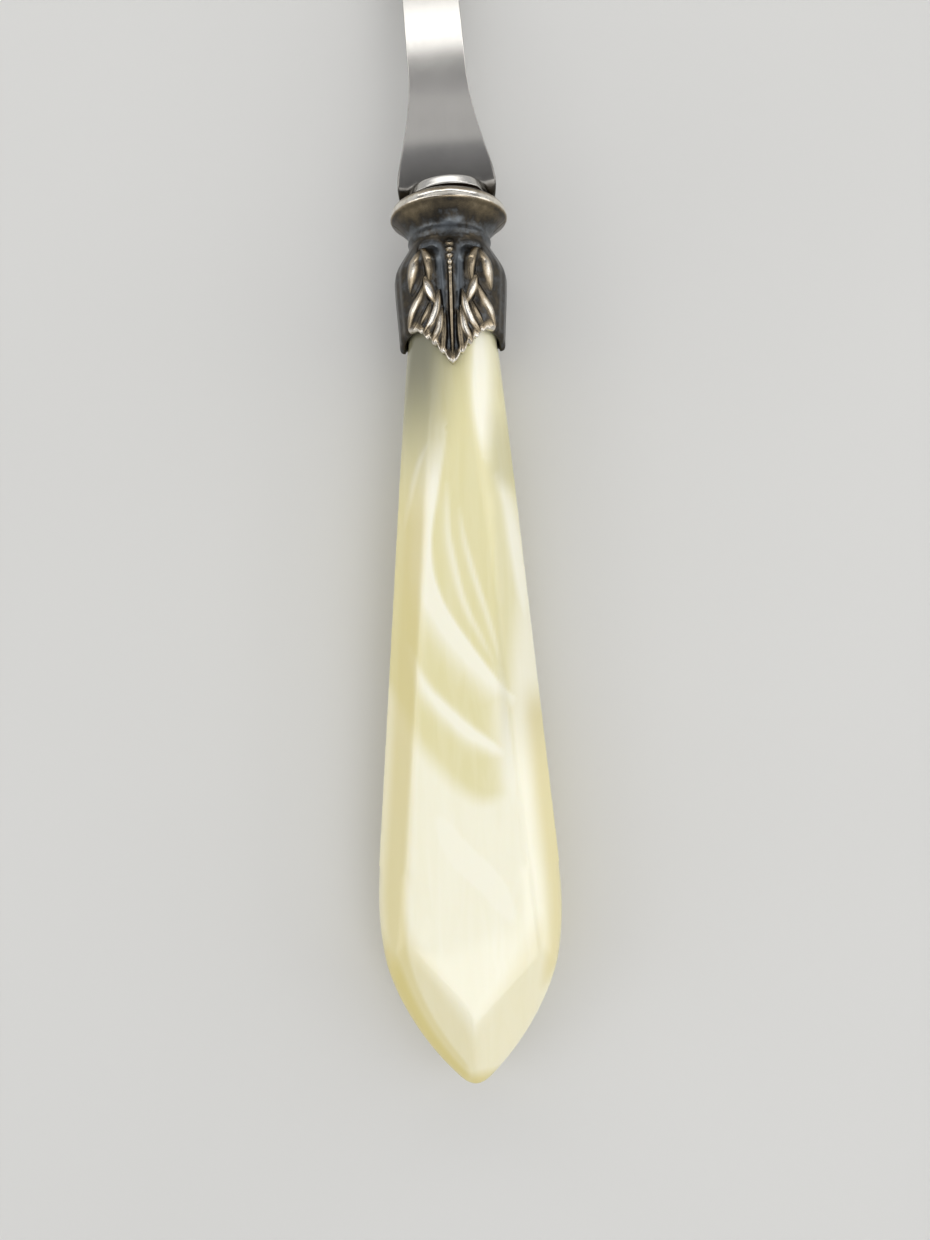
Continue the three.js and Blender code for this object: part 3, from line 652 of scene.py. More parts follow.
# Folds of half a broad leaf: half widths at the start and end, height, how bright the fold is worn,
# and points, in mm from the leaf's middle and from the ferrule's rim.
LEAF_FOLDS = [
    (0.38, 0.30, 0.46, 0.75, [(0, 5.6), (0, 14), (0, 22.4)]),
    (0.80, 0.85, 0.46, 0.7, [(4.6, 7.0), (3.4, 7.3), (2.5, 8.9), (2.3, 10.4), (2.5, 12.2)]),
    (1.05, 0.75, 0.52, 0.95, [(3.1, 10.6), (2.5, 12.3), (1.7, 14.3)]),
    (1.40, 1.15, 0.60, 0.85, [(3.95, 7.0), (4.35, 9.6), (5.1, 12.6)]),
    (0.95, 1.05, 0.56, 0.85, [(2.8, 11.3), (3.7, 13.2), (5.0, 14.6), (6.1, 17.0)]),
    (0.60, 0.65, 0.46, 0.7, [(2.3, 13.6), (2.9, 15.0), (4.1, 16.4)]),
    (0.75, 0.85, 0.52, 1.0, [(1.25, 12.3), (1.75, 14.8), (2.3, 15.9), (3.8, 17.5)]),
    (0.55, 1.00, 0.50, 0.9, [(1.0, 14.2), (1.45, 16.8), (2.6, 18.8)]),
    (0.34, 0.65, 0.40, 0.6, [(0.66, 14.6), (0.9, 17.0), (1.3, 20.4)]),
]
FOLD_NARROWING = 0.7  # powers by which a fold narrows and sinks towards its ends
FOLD_SINKING = 0.4
FOLD_END_WIDTH = 0.05  # least share of its width at its ends
FOLD_CREST = 0.5  # share of its height above which a fold is worn
BEADS = [(6.6, 0.62), (7.7, 0.52), (8.65, 0.44), (9.45, 0.37), (10.1, 0.32), (10.65, 0.28)]  # depth, radius
BEAD_RELIEF = (0.42, 0.1)  # a bead's height in mm, and the share of its radius that is added
BEAD_SQUASH = 1.1  # by which a bead is shorter along the ferrule than round it
LEAF_FLUTE = (
    1.0, 0.5, 0.45,  # half widths at the start and end, and depth
    [(4.2, 6.6), (2.6, 6.3), (1.5, 6.9), (1.1, 9.0), (1.05, 12.0), (0.8, 15.4), (0.5, 19.0)],
)
FLUTE_END = 0.3  # share of its depth that a flute keeps towards the leaf's point
FLUTE_FADE = (0.3, 0.8)  # shares of its run between which it gets shallower
FLUTE_STOP = 0.3  # mm of relief at which a flute ends
EDGE_LIP = (0.4, 0.2)  # width and height of the lip along the leaf edges
EDGE_WEAR = 0.95  # mm over which those edges are rubbed bright
SIDE_RIBS = (3, 0.08)  # ribs down each side leaf's half, and their height
SIDE_LEAF = (8, 16)  # degrees past the notch between which a side leaf's ribs begin
BEAD_SHINE = 0.85  # how bright beads, lips, rubbed edges and ribs are worn
LIP_SHINE = 0.8
EDGE_SHINE = 0.9
RIB_SHINE = 0.12


def ferrule_radius(s, depth):
    """Outside radius at a depth below the rim, without the leaves' relief."""
    bead = s.bead_height * np.exp(-(((depth - s.waist_depth) / s.bead_half_width) ** 2))
    ring = lerp(s.collar_radius, s.rim_radius, np.clip(1 - depth / s.collar_depth, 0, 1) ** COLLAR_CURVE)
    hollow = np.clip((depth - s.collar_depth) / (s.waist_depth - s.collar_depth), 0, 1)
    cove = bead + lerp(s.collar_radius, s.waist_radius, np.sin(math.pi / 2 * hollow))
    swell = bead + lerp(s.waist_radius, s.leaf_radius, smoothstep(depth, s.waist_depth, s.leaf_depth))
    skirt = lerp(s.leaf_radius, s.edge_radius, smoothstep(depth, s.leaf_depth, s.side_tip_depth))
    ranges = [depth < s.collar_depth, depth < s.waist_depth, depth < s.leaf_depth]
    return np.select(ranges, [ring, cove, swell], skirt)


def leaf_edge(s, angle):
    """Depth of the leaves' lower edge at degrees from the middle of a broad leaf."""
    side = np.clip((angle - s.valley_angle) / (90 - s.valley_angle), 0, 1)
    share = np.clip(angle / s.valley_angle, 0, 1)
    lobes = np.abs(np.sin(LOBE_COUNT * math.pi * share)) * LOBE_SWELL * (1 - share) * share
    broad = lerp(s.front_tip_depth, s.valley_depth, 1 - (1 - share) ** LEAF_EDGE_CURVE)
    narrow = lerp(s.valley_depth, s.side_tip_depth, side**SIDE_EDGE_CURVE)
    return np.where(angle > s.valley_angle, narrow, broad + s.scallop_depth * lobes)


def leaf_relief(s, angle, depth):
    """Height of the leaves' relief, and how much of it is worn bright."""
    spots = np.stack([np.radians(angle) * s.leaf_radius, depth], 1)
    height = np.zeros(len(spots))
    bright = np.zeros(len(spots))
    for start, end, rise, wear, stroke in LEAF_FOLDS:
        gap, place = along_stroke(spots, stroke)
        ends = np.sin(math.pi * place) ** FOLD_NARROWING
        width = lerp(start, end, place) * np.maximum(ends, FOLD_END_WIDTH)
        fold = 1 - np.clip(np.abs(gap) / width, 0, 1) ** 2
        height = np.maximum(height, rise * fold * ends**FOLD_SINKING)
        bright = np.maximum(bright, wear * smoothstep(fold, FOLD_CREST, 1) * ends)
    rise, growth = BEAD_RELIEF
    for bead_depth, radius in BEADS:
        gap = np.hypot(spots[:, 0], (depth - bead_depth) * BEAD_SQUASH) / radius
        dome = np.sqrt(np.clip(1 - gap**2, 0, 1))
        height = np.maximum(height, (rise + growth * radius) * dome)
        bright = np.maximum(bright, BEAD_SHINE * dome)
    start, end, deep, stroke = LEAF_FLUTE
    gap, place = along_stroke(spots, stroke)
    flute = deep * (0.5 + 0.5 * np.cos(math.pi * np.clip(np.abs(gap) / lerp(start, end, place), 0, 1)))
    flute = flute * lerp(1, FLUTE_END, smoothstep(place, *FLUTE_FADE))
    past_notch = angle - s.valley_angle
    to_edge = leaf_edge(s, angle) - depth
    width, rise = EDGE_LIP
    lip = np.exp(-((to_edge / width) ** 2)) * (past_notch < SIDE_LEAF[0])
    side = smoothstep(past_notch, *SIDE_LEAF)
    count, rib = SIDE_RIBS
    ribs = side * (0.5 + 0.5 * np.cos(2 * math.pi * count * past_notch / (90 - s.valley_angle)))
    raised = np.maximum.reduce([height * (1 - side), rise * lip, rib * ribs])
    rubbed = np.exp(-((to_edge / EDGE_WEAR) ** 2)) * (1 - side)
    shines = [bright * (1 - side), LIP_SHINE * lip, EDGE_SHINE * rubbed, RIB_SHINE * ribs]
    return raised - flute * (1 - np.clip(raised / FLUTE_STOP, 0, 1)), np.maximum.reduce(shines)


def stamped_plate():
    """Silver plated brass, stamped and tarnished: blue grey and brown in the hollows, olive on the mouldings,
    copper where the plating is thin and bright silver on the ribs that hands have rubbed, and painted
    highlights and dark reflections in bands and patches on the ring, cove and waist."""
    shades = bpy.context.scene.fork_colours
    material, tree = new_material("silver_plated_brass_stamped")
    place = add(tree, "TexCoord", output="Object")
    blotches = {"Vector": place, "Scale": 1 / (1.1 * MM), "Detail": 6, "Roughness": 0.65}
    grime = add(tree, "TexNoise", blotches)
    # wear on the leaves, and painted highlights and reflections on the ring, cove and waist
    wear_and_sheen = add(tree, "Attribute", output="Fac", attribute_name="wear_and_sheen")
    mixed = add(tree, "Math", {0: grime, 1: 0.5, 2: wear_and_sheen}, operation="MULTIPLY_ADD")
    level = add(tree, "Math", {0: mixed, 1: 0.25}, operation="SUBTRACT")
    stops = [(0.02, shades.patina), (0.95, shades.silver)]
    stops += [(0.2, shades.grime), (0.45, shades.olive), (0.7, shades.copper)]
    shade_and_tarnish = add(tree, "ValToRGB", {"Fac": level}, stops)
    polish = {"Value": level, "From Min": 0.1, "From Max": 0.9, "To Min": 0.34, "To Max": 0.13}
    gloss = add(tree, "MapRange", polish)
    pits = add(tree, "Bump", {"Height": grime, "Strength": 0.18, "Distance": 0.2 * MM})
    surface = {"Base Color": shade_and_tarnish, "Roughness": gloss, "Normal": pits, "Metallic": 1}
    add(tree, "OutputMaterial", {"Surface": add(tree, "BsdfPrincipled", surface)})
    return material


# How bright the ring, cove and waist are painted, at mm from the rim: the ring's bulge worn bright and
# painted with a highlight, then painted dark and bright reflections in bands down the cove and waist
COLLAR_WEAR_AND_SHEEN = [
    (0, 0.4), (0.8, 0.5), (1.3, 0.95), (1.8, 0.9), (2.1, 0.3), (2.4, 0.42), (2.7, 0.36), (3, 0.24),
    (3.6, 0.16), (4.1, 0.1), (5, 0.12), (5.5, 0.2),
]
COLLAR_SHEEN_PATCHES = (2, 76, 0.3)  # mm from the rim where painted reflection patches start, degrees between them, their contrast
LEAF_WEAR = 0.2  # how bright the plain leaf is
HOLLOW_TARNISH = (0.2, 0.3)  # by how much hollows are darker, and the mm at which they are darkest
ROLLED_EDGE = (0.7, 0.42)  # run and depth in mm of the leaf edges' turn towards the handle
FERRULE_TURNS = 230  # steps round half the ferrule
FERRULE_ROWS = 165  # steps from the rim to the leaf edges
COLLAR_ROWS = 0.3  # share of those rows on the ring and waist


def ferrule_half(s, side, name, node, material):
    """One half of the stamped ferrule, above or below the seam."""
    bm = bmesh.new()
    bmesh.ops.create_grid(bm, x_segments=FERRULE_TURNS, y_segments=FERRULE_ROWS, size=0.5)
    share = coordinates(bm)[:, :2] + 0.5
    seam = math.asin(s.seam_gap / 2 / s.waist_radius)
    turn = lerp(seam, math.pi - seam, share[:, 0])
    angle = np.abs(np.degrees(turn) - 90)
    edge = leaf_edge(s, angle)
    leaf_start = s.waist_depth + WAIST_RUN
    on_collar = share[:, 1] < COLLAR_ROWS
    down = np.clip((share[:, 1] - COLLAR_ROWS) / (1 - COLLAR_ROWS), 0, 1)
    depth = np.where(on_collar, leaf_start * share[:, 1] / COLLAR_ROWS, lerp(leaf_start, edge, down))
    relief, bright = leaf_relief(s, angle, depth)
    run_in = np.clip(down / RELIEF_RUN, 0, 1)
    radius = ferrule_radius(s, depth)
    raised = radius + run_in * relief
    inner = np.minimum(radius - s.ferrule_wall, raised - s.ferrule_wall / 2)
    run, turned = ROLLED_EDGE
    rolled = np.clip(1 - (edge - depth) / run, 0, 1)
    outer = raised - turned * (1 - np.sqrt(1 - rolled**2))

    def spots(r):
        return np.stack([r * np.cos(turn), -depth, side * r * np.sin(turn)], 1)

    # painted highlights and reflections on the ring, cove and waist: bands by depth, and patches round the
    # ring
    start, spacing, contrast = COLLAR_SHEEN_PATCHES
    patches = np.where(depth > start, 1 - contrast * np.cos(2 * math.pi * angle / spacing), 1)
    collar = np.interp(depth, *zip(*COLLAR_WEAR_AND_SHEEN)) * patches
    leaf = lerp(LEAF_WEAR, np.maximum(LEAF_WEAR, bright), np.clip(run_in * 2, 0, 1))
    dark, hollow = HOLLOW_TARNISH
    wear_and_sheen = np.where(on_collar, collar, leaf) - dark * np.clip(-relief / hollow, 0, 1) * run_in
    set_coordinates(bm.verts, spots(outer))
    mark(bm, "wear_and_sheen", wear_and_sheen)
    order = bm.verts.layers.int.new("order")
    for i, vert in enumerate(bm.verts):
        vert[order] = i
    grown = bmesh.ops.extrude_face_region(bm, geom=bm.faces[:], use_keep_orig=True)["geom"]
    fresh = only(grown, BMVert)
    set_coordinates(fresh, spots(inner)[[vert[order] for vert in fresh]])
    bmesh.ops.recalc_face_normals(bm, faces=bm.faces[:])
    bmesh.ops.transform(bm, matrix=lying_place(s), verts=bm.verts[:])
    finished(bm, name, node, material)


class FORK_OT_ferrule(bpy.types.Operator):
    """Stamp the two halves of the leaf ferrule"""

    bl_idname = "dinner_fork.ferrule"
    bl_label = "Leaf ferrule"

    def execute(self, context):
        s = sizes()
        material = stamped_plate()
        ferrule_half(s, 1, "leaf_ferrule_front", "ferrule_front", material)
        ferrule_half(s, -1, "leaf_ferrule_back", "ferrule_back", material)
        return {"FINISHED"}


# Fork

WIDTH_FLARE = 1.8  # powers by which the neck's width, thickness and oval section shrink along the flare
THICKNESS_FLARE = 1.5
OVAL_FLARE = 35
SLOPE_FLARE = 4  # powers by which the skin's tilt comes in and the corners' drop ends along the flare
DROP_FLARE = 10
NECK_ARCH = (6.4, 1.2)  # run and rise in mm by which the neck arches up from the bolster
NECK_CORNER = (2.8, 1.15)  # run and depth in mm of the flare's rounding next to the bolster
RING_SPAN = (0.35, 0.75)  # height on the bolster, as a share of its radius, between which its ring rises
SIDE_END = 0.45  # mm from the rim to where the flare's corners end beside that ring
NECK_HOLD = 0.55  # how far the head's outline keeps to the neck's side and to its own
HEAD_HOLD = 0.5
HEAD_STEPS = 200
TINE_CELLS = 6
COLUMNS = TINE_CELLS + 1  # columns of vertices in a tine
TIP_THINNING = 0.55  # shares of its thickness and width that a tine loses towards its tip
TIP_NARROWING = 0.86
TIP_SETBACK = 0.3  # mm by which the last row of vertices stays behind the tips
SLOT_ROWS = 2  # mm past the root in which the rows lie close, for the slots' round ends
EDGE_ANGLE = 1  # radians between two faces over which their edge stays sharp
EDGE_CREASE = 0.75  # how sharp the forging's edges stay when its surface is smoothed
CREASE_END = 1  # mm from the tips where they are quite soft
TANG_STEP = 0.05  # mm from the bolster's lower face to the tang
END_SHADE = (0.6, 5)  # how dark the painted shade makes the flare at the bolster, and the mm along it that it covers
CORNER_SHADE = 0.95  # how dark the painted shade makes its corners
CORNER_SIDE = (3, 1.6)  # mm from the flare's sides, and mm along it, between which that comes in
CORNER_RISE = (1, 0)


def flare_share(s, y, power):
    """1 at the bolster, and 0 where the flare ends in the shank."""
    return np.clip(1 - (y - s.bolster_top) / s.flare_length, 0, 1) ** power


def fork_lift(s, y):
    """Height of the middle of the fork's thickness over the handle's axis."""
    run, height = NECK_ARCH
    arch = height * (0.5 - np.clip(1 - (y - s.bolster_top) / run, 0, 1) ** 2)
    bend = smoothstep(y, s.bend_start, s.root_y)
    rise = np.clip((y - s.root_y) / s.tine_length, 0, 1) ** s.tine_curve
    return arch * (1 - bend) + (s.heel_depth + s.tip_rise) * rise - s.heel_depth * bend


def fork_thickness(s, y):
    """Thickness of the neck, head and tines."""
    neck = lerp(s.shank_thickness, s.heel_thickness, np.clip(y / s.root_y, 0, 1))
    tines = lerp(s.heel_thickness, s.tip_thickness, np.clip((y - s.root_y) / s.tine_length, 0, 1))
    past = np.clip((y - s.point_start) / s.tine_point, 0, 1)
    flat = np.where(y < s.root_y, neck, tines * (1 - TIP_THINNING * past**3))
    return lerp(flat, s.flare_thickness, flare_share(s, y, THICKNESS_FLARE))


def fork_half_width(s, y):
    """Half the width of the neck and head, up to the slots."""
    shank, head = s.shank_width / 2, s.head_width / 2
    run = s.root_y - s.shank_length
    hold = s.shank_length + NECK_HOLD * run, s.root_y - HEAD_HOLD * run
    t = np.linspace(0, 1, HEAD_STEPS)
    weights = [(1 - t) ** 3, 3 * t * (1 - t) ** 2, 3 * t**2 * (1 - t), t**3]
    along = sum(w * v for w, v in zip(weights, (s.shank_length, *hold, s.root_y + s.slot_radius)))
    shoulders = np.interp(y, along, sum(w * v for w, v in zip(weights, (shank, shank, head, head))))
    run, depth = NECK_CORNER
    corner = np.clip(1 - (y - s.bolster_top) / run, 0, 1)
    neck = (s.shank_width + (s.flare_width - s.shank_width) * flare_share(s, y, WIDTH_FLARE)) / 2
    return np.where(y < s.shank_length, neck - depth * (1 - np.sqrt(1 - corner**2)), shoulders)


def tine_edges(s, tine, y):
    """Left and right edge of a tine's strip: its share of the head before the slots, then the tine."""
    middle = (tine - (s.tine_count - 1) / 2) * s.tine_pitch
    shoulder = s.root_y + s.slot_radius
    taper = np.clip((y - shoulder) / (s.point_start - shoulder), 0, 1)
    past = np.clip((y - s.point_start) / s.tine_point, 0, 1)
    half = lerp(s.tine_width, s.tine_end_width, taper) / 2
    half = half * (1 - (1 - np.sqrt(1 - past)) ** 2 * TIP_NARROWING)
    into = np.clip(shoulder - y, 0, s.slot_radius)
    web = s.slot_radius - np.sqrt(np.clip(s.slot_radius**2 - into**2, 0, None))
    reach = fork_half_width(s, y)
    edges = []
    for sign, outermost in ((-1, 0), (1, s.tine_count - 1)):
        beyond = middle + sign * half
        if tine == outermost:
            edge = np.where(y < shoulder, sign * reach, beyond)
        else:
            strip = reach / (s.head_width / 2) * (middle + sign * s.tine_pitch / 2)
            edge = np.where(y < s.root_y, strip, beyond + sign * web)
        even = reach * (2 * (tine + (sign > 0)) / s.tine_count - 1)
        edges.append(lerp(even, edge, smoothstep(y, s.shank_length, s.root_y)))
    return edges


def fork_rows(s):
    """Distances from the rim at which the fork's rows lie, closer where the outline turns."""
    # Where each span of rows ends, and how many rows it has
    spans = [
        (s.bolster_top + 0.4, 4),
        (s.bolster_top + 1.4, 3),
        (s.bolster_top + s.flare_length, 16),
        (s.shank_length, 9),
        (s.root_y, 14),
        (s.root_y + SLOT_ROWS, 7),
        (s.point_start, 18),
        (s.fork_length - TIP_SETBACK, 9),
    ]
    start = s.bolster_top
    rows = [start]
    for end, steps in spans:
        shares = np.arange(1, steps + 1) / steps
        if end > s.point_start:
            shares = 1 - (1 - shares) ** 2
        rows.extend(lerp(start, end, shares))
        start = end
    return np.array(rows)


def fork_skin(s, y, column, face):
    """Points of the fork's upper or lower skin at distances and strip columns."""
    tine, cell = column // COLUMNS, column % COLUMNS
    x = np.zeros(len(y))
    for i in range(s.tine_count):
        left, right = tine_edges(s, i, y)
        x = np.where(tine == i, lerp(left, right, cell / TINE_CELLS), x)
    half_width = fork_half_width(s, y)
    oval = flare_share(s, y, OVAL_FLARE)
    across = np.clip(x / half_width, -1, 1) * math.pi / 2
    x = np.where(oval > 0, lerp(x, half_width * np.sin(across), oval), x)
    crown = np.where(oval > 0, lerp(1, np.cos(across), oval), 1)
    step = 0.05
    slope = (fork_lift(s, y + step) - fork_lift(s, y - step)) / (2 * step)
    slope = slope * (1 - flare_share(s, y, SLOPE_FLARE))
    reach = face * crown * fork_thickness(s, y) / 2 / np.sqrt(1 + slope**2)
    side = 1 - smoothstep(np.cos(across), *RING_SPAN)
    drop = (s.bolster_top - SIDE_END) * side * flare_share(s, y, DROP_FLARE)
    return np.stack([x, y - reach * slope - drop, fork_lift(s, y) + reach], 1)


def fork_plate(s):
    """The fork from its flare to the tine tips, open where the bolster goes on."""
    rows = fork_rows(s)
    last = np.array([s.tine_count * COLUMNS - 1, len(rows) - 1])
    bm = bmesh.new()
    bmesh.ops.create_grid(bm, x_segments=int(last[0]), y_segments=int(last[1]), size=0.5)
    places = np.rint((coordinates(bm)[:, :2] + 0.5) * last).astype(int)
    tag_column = bm.verts.layers.int.new("column")
    tag_row = bm.verts.layers.int.new("row")
    for vert, (column, row) in zip(bm.verts, places):
        vert[tag_column], vert[tag_row] = int(column), int(row)

    def in_slot(face):
        return len({v[tag_column] // COLUMNS for v in face.verts}) > 1

    bmesh.ops.delete(bm, geom=[f for f in bm.faces if in_slot(f)], context="FACES_ONLY")
    bmesh.ops.delete(bm, geom=[e for e in bm.edges if not e.link_faces], context="EDGES")
    root_row = int(np.argmin(np.abs(rows - s.root_y)))
    at = {(v[tag_column], v[tag_row]): v for v in bm.verts}
    weld = {}
    for (column, row), vert in at.items():
        if row <= root_row and column > 0 and column % COLUMNS == 0:
            weld[vert] = at[column - 1, row]
    bmesh.ops.weld_verts(bm, targetmap=weld)
    grown = bmesh.ops.extrude_face_region(bm, geom=bm.faces[:], use_keep_orig=True)["geom"]
    fresh = set(only(grown, BMVert))
    walls = [f for f in bm.faces if len({v in fresh for v in f.verts}) == 2]
    neck_walls = [f for f in walls if all(v[tag_row] == 0 for v in f.verts)]
    bmesh.ops.delete(bm, geom=neck_walls, context="FACES_ONLY")
    for face, verts in ((1, [v for v in bm.verts if v not in fresh]), (-1, list(fresh))):
        y = rows[[v[tag_row] for v in verts]]
        column = np.array([v[tag_column] for v in verts])
        set_coordinates(verts, fork_skin(s, y, column, face))
    crease = bm.edges.layers.float.new("crease_edge")
    for edge in bm.edges:
        if len(edge.link_faces) == 2 and edge.calc_face_angle(0) > EDGE_ANGLE:
            y = sum(v.co.y for v in edge.verts) / 2
            softened = float(smoothstep(y, s.point_start, s.fork_length - CREASE_END))
            edge[crease] = EDGE_CREASE * (1 - softened)
    bmesh.ops.remove_doubles(bm, verts=bm.verts[:], dist=MERGE / 10)
    return bm


def bolster_profile(s, side):
    """Loops from the flare over the bolster: radius and distance from the rim on the ring, then beside it."""
    top, bottom, full = s.bolster_top, s.bolster_gap, s.bolster_radius
    return [
        (full - 0.8, top + 0.04, side + 0.02, SIDE_END - 0.06),
        (full - 0.52, top, side + 0.02, SIDE_END - 0.12),
        (full - 0.38, top - 0.12, side, SIDE_END - 0.2),
        (full - 0.26, lerp(top, bottom, 0.38), side - 0.04, bottom + 0.08),
        (full - 0.14, lerp(top, bottom, 0.66), side - 0.1, bottom + 0.04),
        (full - 0.02, bottom + 0.1, side - 0.2, bottom + 0.01),
        (full - 0.08, bottom, side - 0.35, bottom),
        (full - 0.4, bottom, full - 0.4, bottom),
        (s.tang_width * 0.75, bottom, s.tang_width * 0.75, bottom),
    ]


def painted_shade_share(s, points):
    """Painted shade on the plate by the bolster, darkest at the flare's two corners."""
    to_side, rise = s.flare_width / 2 - np.abs(points[:, 0]), points[:, 1] - s.bolster_top
    level, run = END_SHADE
    corners = CORNER_SHADE * smoothstep(to_side, *CORNER_SIDE) * smoothstep(rise, *CORNER_RISE)
    return np.maximum(level * smoothstep(rise, run, 0), corners)


def polished_steel():
    """Forged steel, ground and polished bright: mirror like, softened by fine lines along the fork, and
    darkened with painted shade by the ferrule, most at the flare's corners."""
    shades = bpy.context.scene.fork_colours
    material, tree = new_material("forged_steel_polished")
    place = add(tree, "TexCoord", output="Object")
    # The polisher's lines are finer than this, and are drawn wide enough to show
    grit = [1 / (size * MM) for size in (0.25, 9, 0.25)]
    lines = add(tree, "Mapping", {"Vector": place, "Scale": grit})
    scratches = add(tree, "TexNoise", {"Vector": lines, "Scale": 1, "Detail": 3})
    clouds = add(tree, "TexNoise", {"Vector": place, "Scale": 1 / (7 * MM), "Detail": 3})
    wear_and_sheen = add(tree, "Math", {0: scratches, 1: clouds}, operation="MULTIPLY")
    polish = {"Value": wear_and_sheen, "From Min": 0.1, "From Max": 0.45, "To Min": 0.2, "To Max": 0.24}
    gloss = add(tree, "MapRange", polish)
    tone = add(tree, "ValToRGB", {"Fac": clouds}, [(0.3, 0.9 * shades.steel), (0.7, shades.steel)])
    # painted shade by the bolster, mixed in towards the grime colour
    shade_and_tarnish = add(tree, "Attribute", output="Fac", attribute_name="shade_and_tarnish")
    dimmed = add(tree, "Mix", {0: shade_and_tarnish, 6: tone, 7: (*shades.grime, 1)}, output=2, data_type="RGBA")
    marks = add(tree, "Bump", {"Height": scratches, "Strength": 0.02, "Distance": 0.02 * MM})
    surface = {"Base Color": dimmed, "Roughness": gloss, "Normal": marks, "Metallic": 1}
    add(tree, "OutputMaterial", {"Surface": add(tree, "BsdfPrincipled", surface)})
    return material


class FORK_OT_steel(bpy.types.Operator):
    """Forge the fork in one piece: tines, head, neck, bolster and tang"""

    bl_idname = "dinner_fork.steel"
    bl_label = "Steel fork"

    def execute(self, context):
        s = sizes()
        bm = fork_plate(s)
        # painted shade on the plate by the bolster
        mark(bm, "shade_and_tarnish", painted_shade_share(s, coordinates(bm)))
        shade_and_tarnish = bm.verts.layers.float["shade_and_tarnish"]
        turn = bm.verts.layers.float.new("turn")
        ring = [e for e in bm.edges if e.is_boundary]
        if not ring:
            raise RuntimeError("the fork's neck has no open end for the bolster")
        side, height = s.flare_width / 2 - NECK_CORNER[1], s.flare_thickness / 2
        middle = float(fork_lift(s, s.bolster_top))
        for vert in {v for e in ring for v in e.verts}:
            vert[turn] = math.atan2((vert.co.z - middle) / height, vert.co.x / side)
        tang = [(s.tang_width / 2, s.bolster_gap - TANG_STEP), (s.tang_end_width / 2, -s.tang_length)]
        for loop in bolster_profile(s, side) + tang:
            grown = bmesh.ops.extrude_edge_only(bm, edges=ring)["geom"]
            ring = only(grown, BMEdge)
            for vert in only(grown, BMVert):
                across, up = math.cos(vert[turn]), math.sin(vert[turn])
                if loop in tang:
                    radius = loop[0] / max(abs(across), abs(up))
                    vert.co = (radius * across, loop[1], radius * up)
                    continue
                risen = smoothstep(abs(up), *RING_SPAN)
                on_ring = Vector((loop[0] * across, loop[1], loop[0] * up))
                beside = Vector((loop[2] * across, loop[3], middle + loop[2] / side * height * up))
                vert.co = beside.lerp(on_ring, risen)
                # painted shade on the bolster's sides beside its ring
                vert[shade_and_tarnish] = CORNER_SHADE * (1 - risen)
        bmesh.ops.contextual_create(bm, geom=ring)
        bmesh.ops.recalc_face_normals(bm, faces=bm.faces[:])
        lean = Matrix.Rotation(math.radians(s.fork_lean), 4, "Z")
        bmesh.ops.transform(bm, matrix=lying_place(s) @ lean, verts=bm.verts[:])
        piece = finished(bm, "steel_fork", "fork", polished_steel())
        smooth = piece.modifiers.new("surface", "SUBSURF")
        smooth.levels = smooth.render_levels = 2
        return {"FINISHED"}


# Cement


def poured_cement():
    """Cutler's cement, resin with brick dust, poured: matt red brown, darker between the grit."""
    cement = bpy.context.scene.fork_colours.cement
    material, tree = new_material("cutlers_cement_poured")
    place = add(tree, "TexCoord", output="Object")
    grit = add(tree, "TexNoise", {"Vector": place, "Scale": 1 / (0.6 * MM), "Detail": 5, "Roughness": 0.7})
    tone = add(tree, "ValToRGB", {"Fac": grit}, [(0.35, 0.5 * cement), (0.7, cement)])
    rough = add(tree, "Bump", {"Height": grit, "Strength": 0.5, "Distance": 0.2 * MM})
    surface = {"Base Color": tone, "Normal": rough, "Roughness": 0.85}
    add(tree, "OutputMaterial", {"Surface": add(tree, "BsdfPrincipled", surface)})
    return material


class FORK_OT_cement(bpy.types.Operator):
    """Give the hidden cement in the ferrule and the bore its finish"""

    bl_idname = "dinner_fork.cement"
    bl_label = "Cement"

    def execute(self, context):
        material = poured_cement()
        for node in ("ferrule_cement", "tang_cement"):
            mesh = frame["nodes"][node].data
            mesh.materials.clear()
            mesh.materials.append(material)
        return {"FINISHED"}


# Stage

EYE = (0.43, -50.5, 113.4)  # mm in the handle's frame
ROLL = 1.83  # degrees
SENSOR = 36  # mm
LENS = 27  # mm
NEAREST = 0.005  # m from the camera at which it starts to see
FLOOR_RADIUS = 0.75  # m
FLOOR_SEGMENTS = 128
AIR_LOW = "#d2d3d5"  # the room's light from the sides and below, and from above
AIR_HIGH = "#85868a"

# Soft panels: name, place in m, width and height in m, and power in watts
PANELS = [
    ("far_panel", (0.0, 0.522, 0.295), 1.0, 0.13, 1.0),
    ("mid_panel", (0.0, 0.34, 0.494), 1.0, 0.19, 0.28),
    ("top_left_panel", (-0.36, 0.0, 0.52), 0.36, 0.6, 0.7),
    ("top_right_panel", (0.40, 0.0, 0.50), 0.36, 0.6, 0.8),
    ("right_panel", (0.7, -0.05, 0.22), 0.8, 0.4, 0.95),
    ("near_panel", (0.2, -0.55, 0.6), 0.6, 0.6, 2.05),
    ("left_panel", (-0.7, -0.1, 0.35), 0.6, 0.5, 1.1),
]
PANEL_TARGET = Vector((0, -0.03, 0))  # m


def painted_board():
    """Painted board: matt and pale, with a barely uneven tone."""
    floor = bpy.context.scene.fork_colours.floor
    material, tree = new_material("painted_board_matt")
    place = add(tree, "TexCoord", output="Object")
    uneven = add(tree, "TexNoise", {"Vector": place, "Scale": 1 / (90 * MM), "Detail": 2})
    tone = add(tree, "ValToRGB", {"Fac": uneven}, [(0.3, 0.97 * floor), (0.7, floor)])
    surface = {"Base Color": tone, "Roughness": 0.7}
    add(tree, "OutputMaterial", {"Surface": add(tree, "BsdfPrincipled", surface)})
    return material


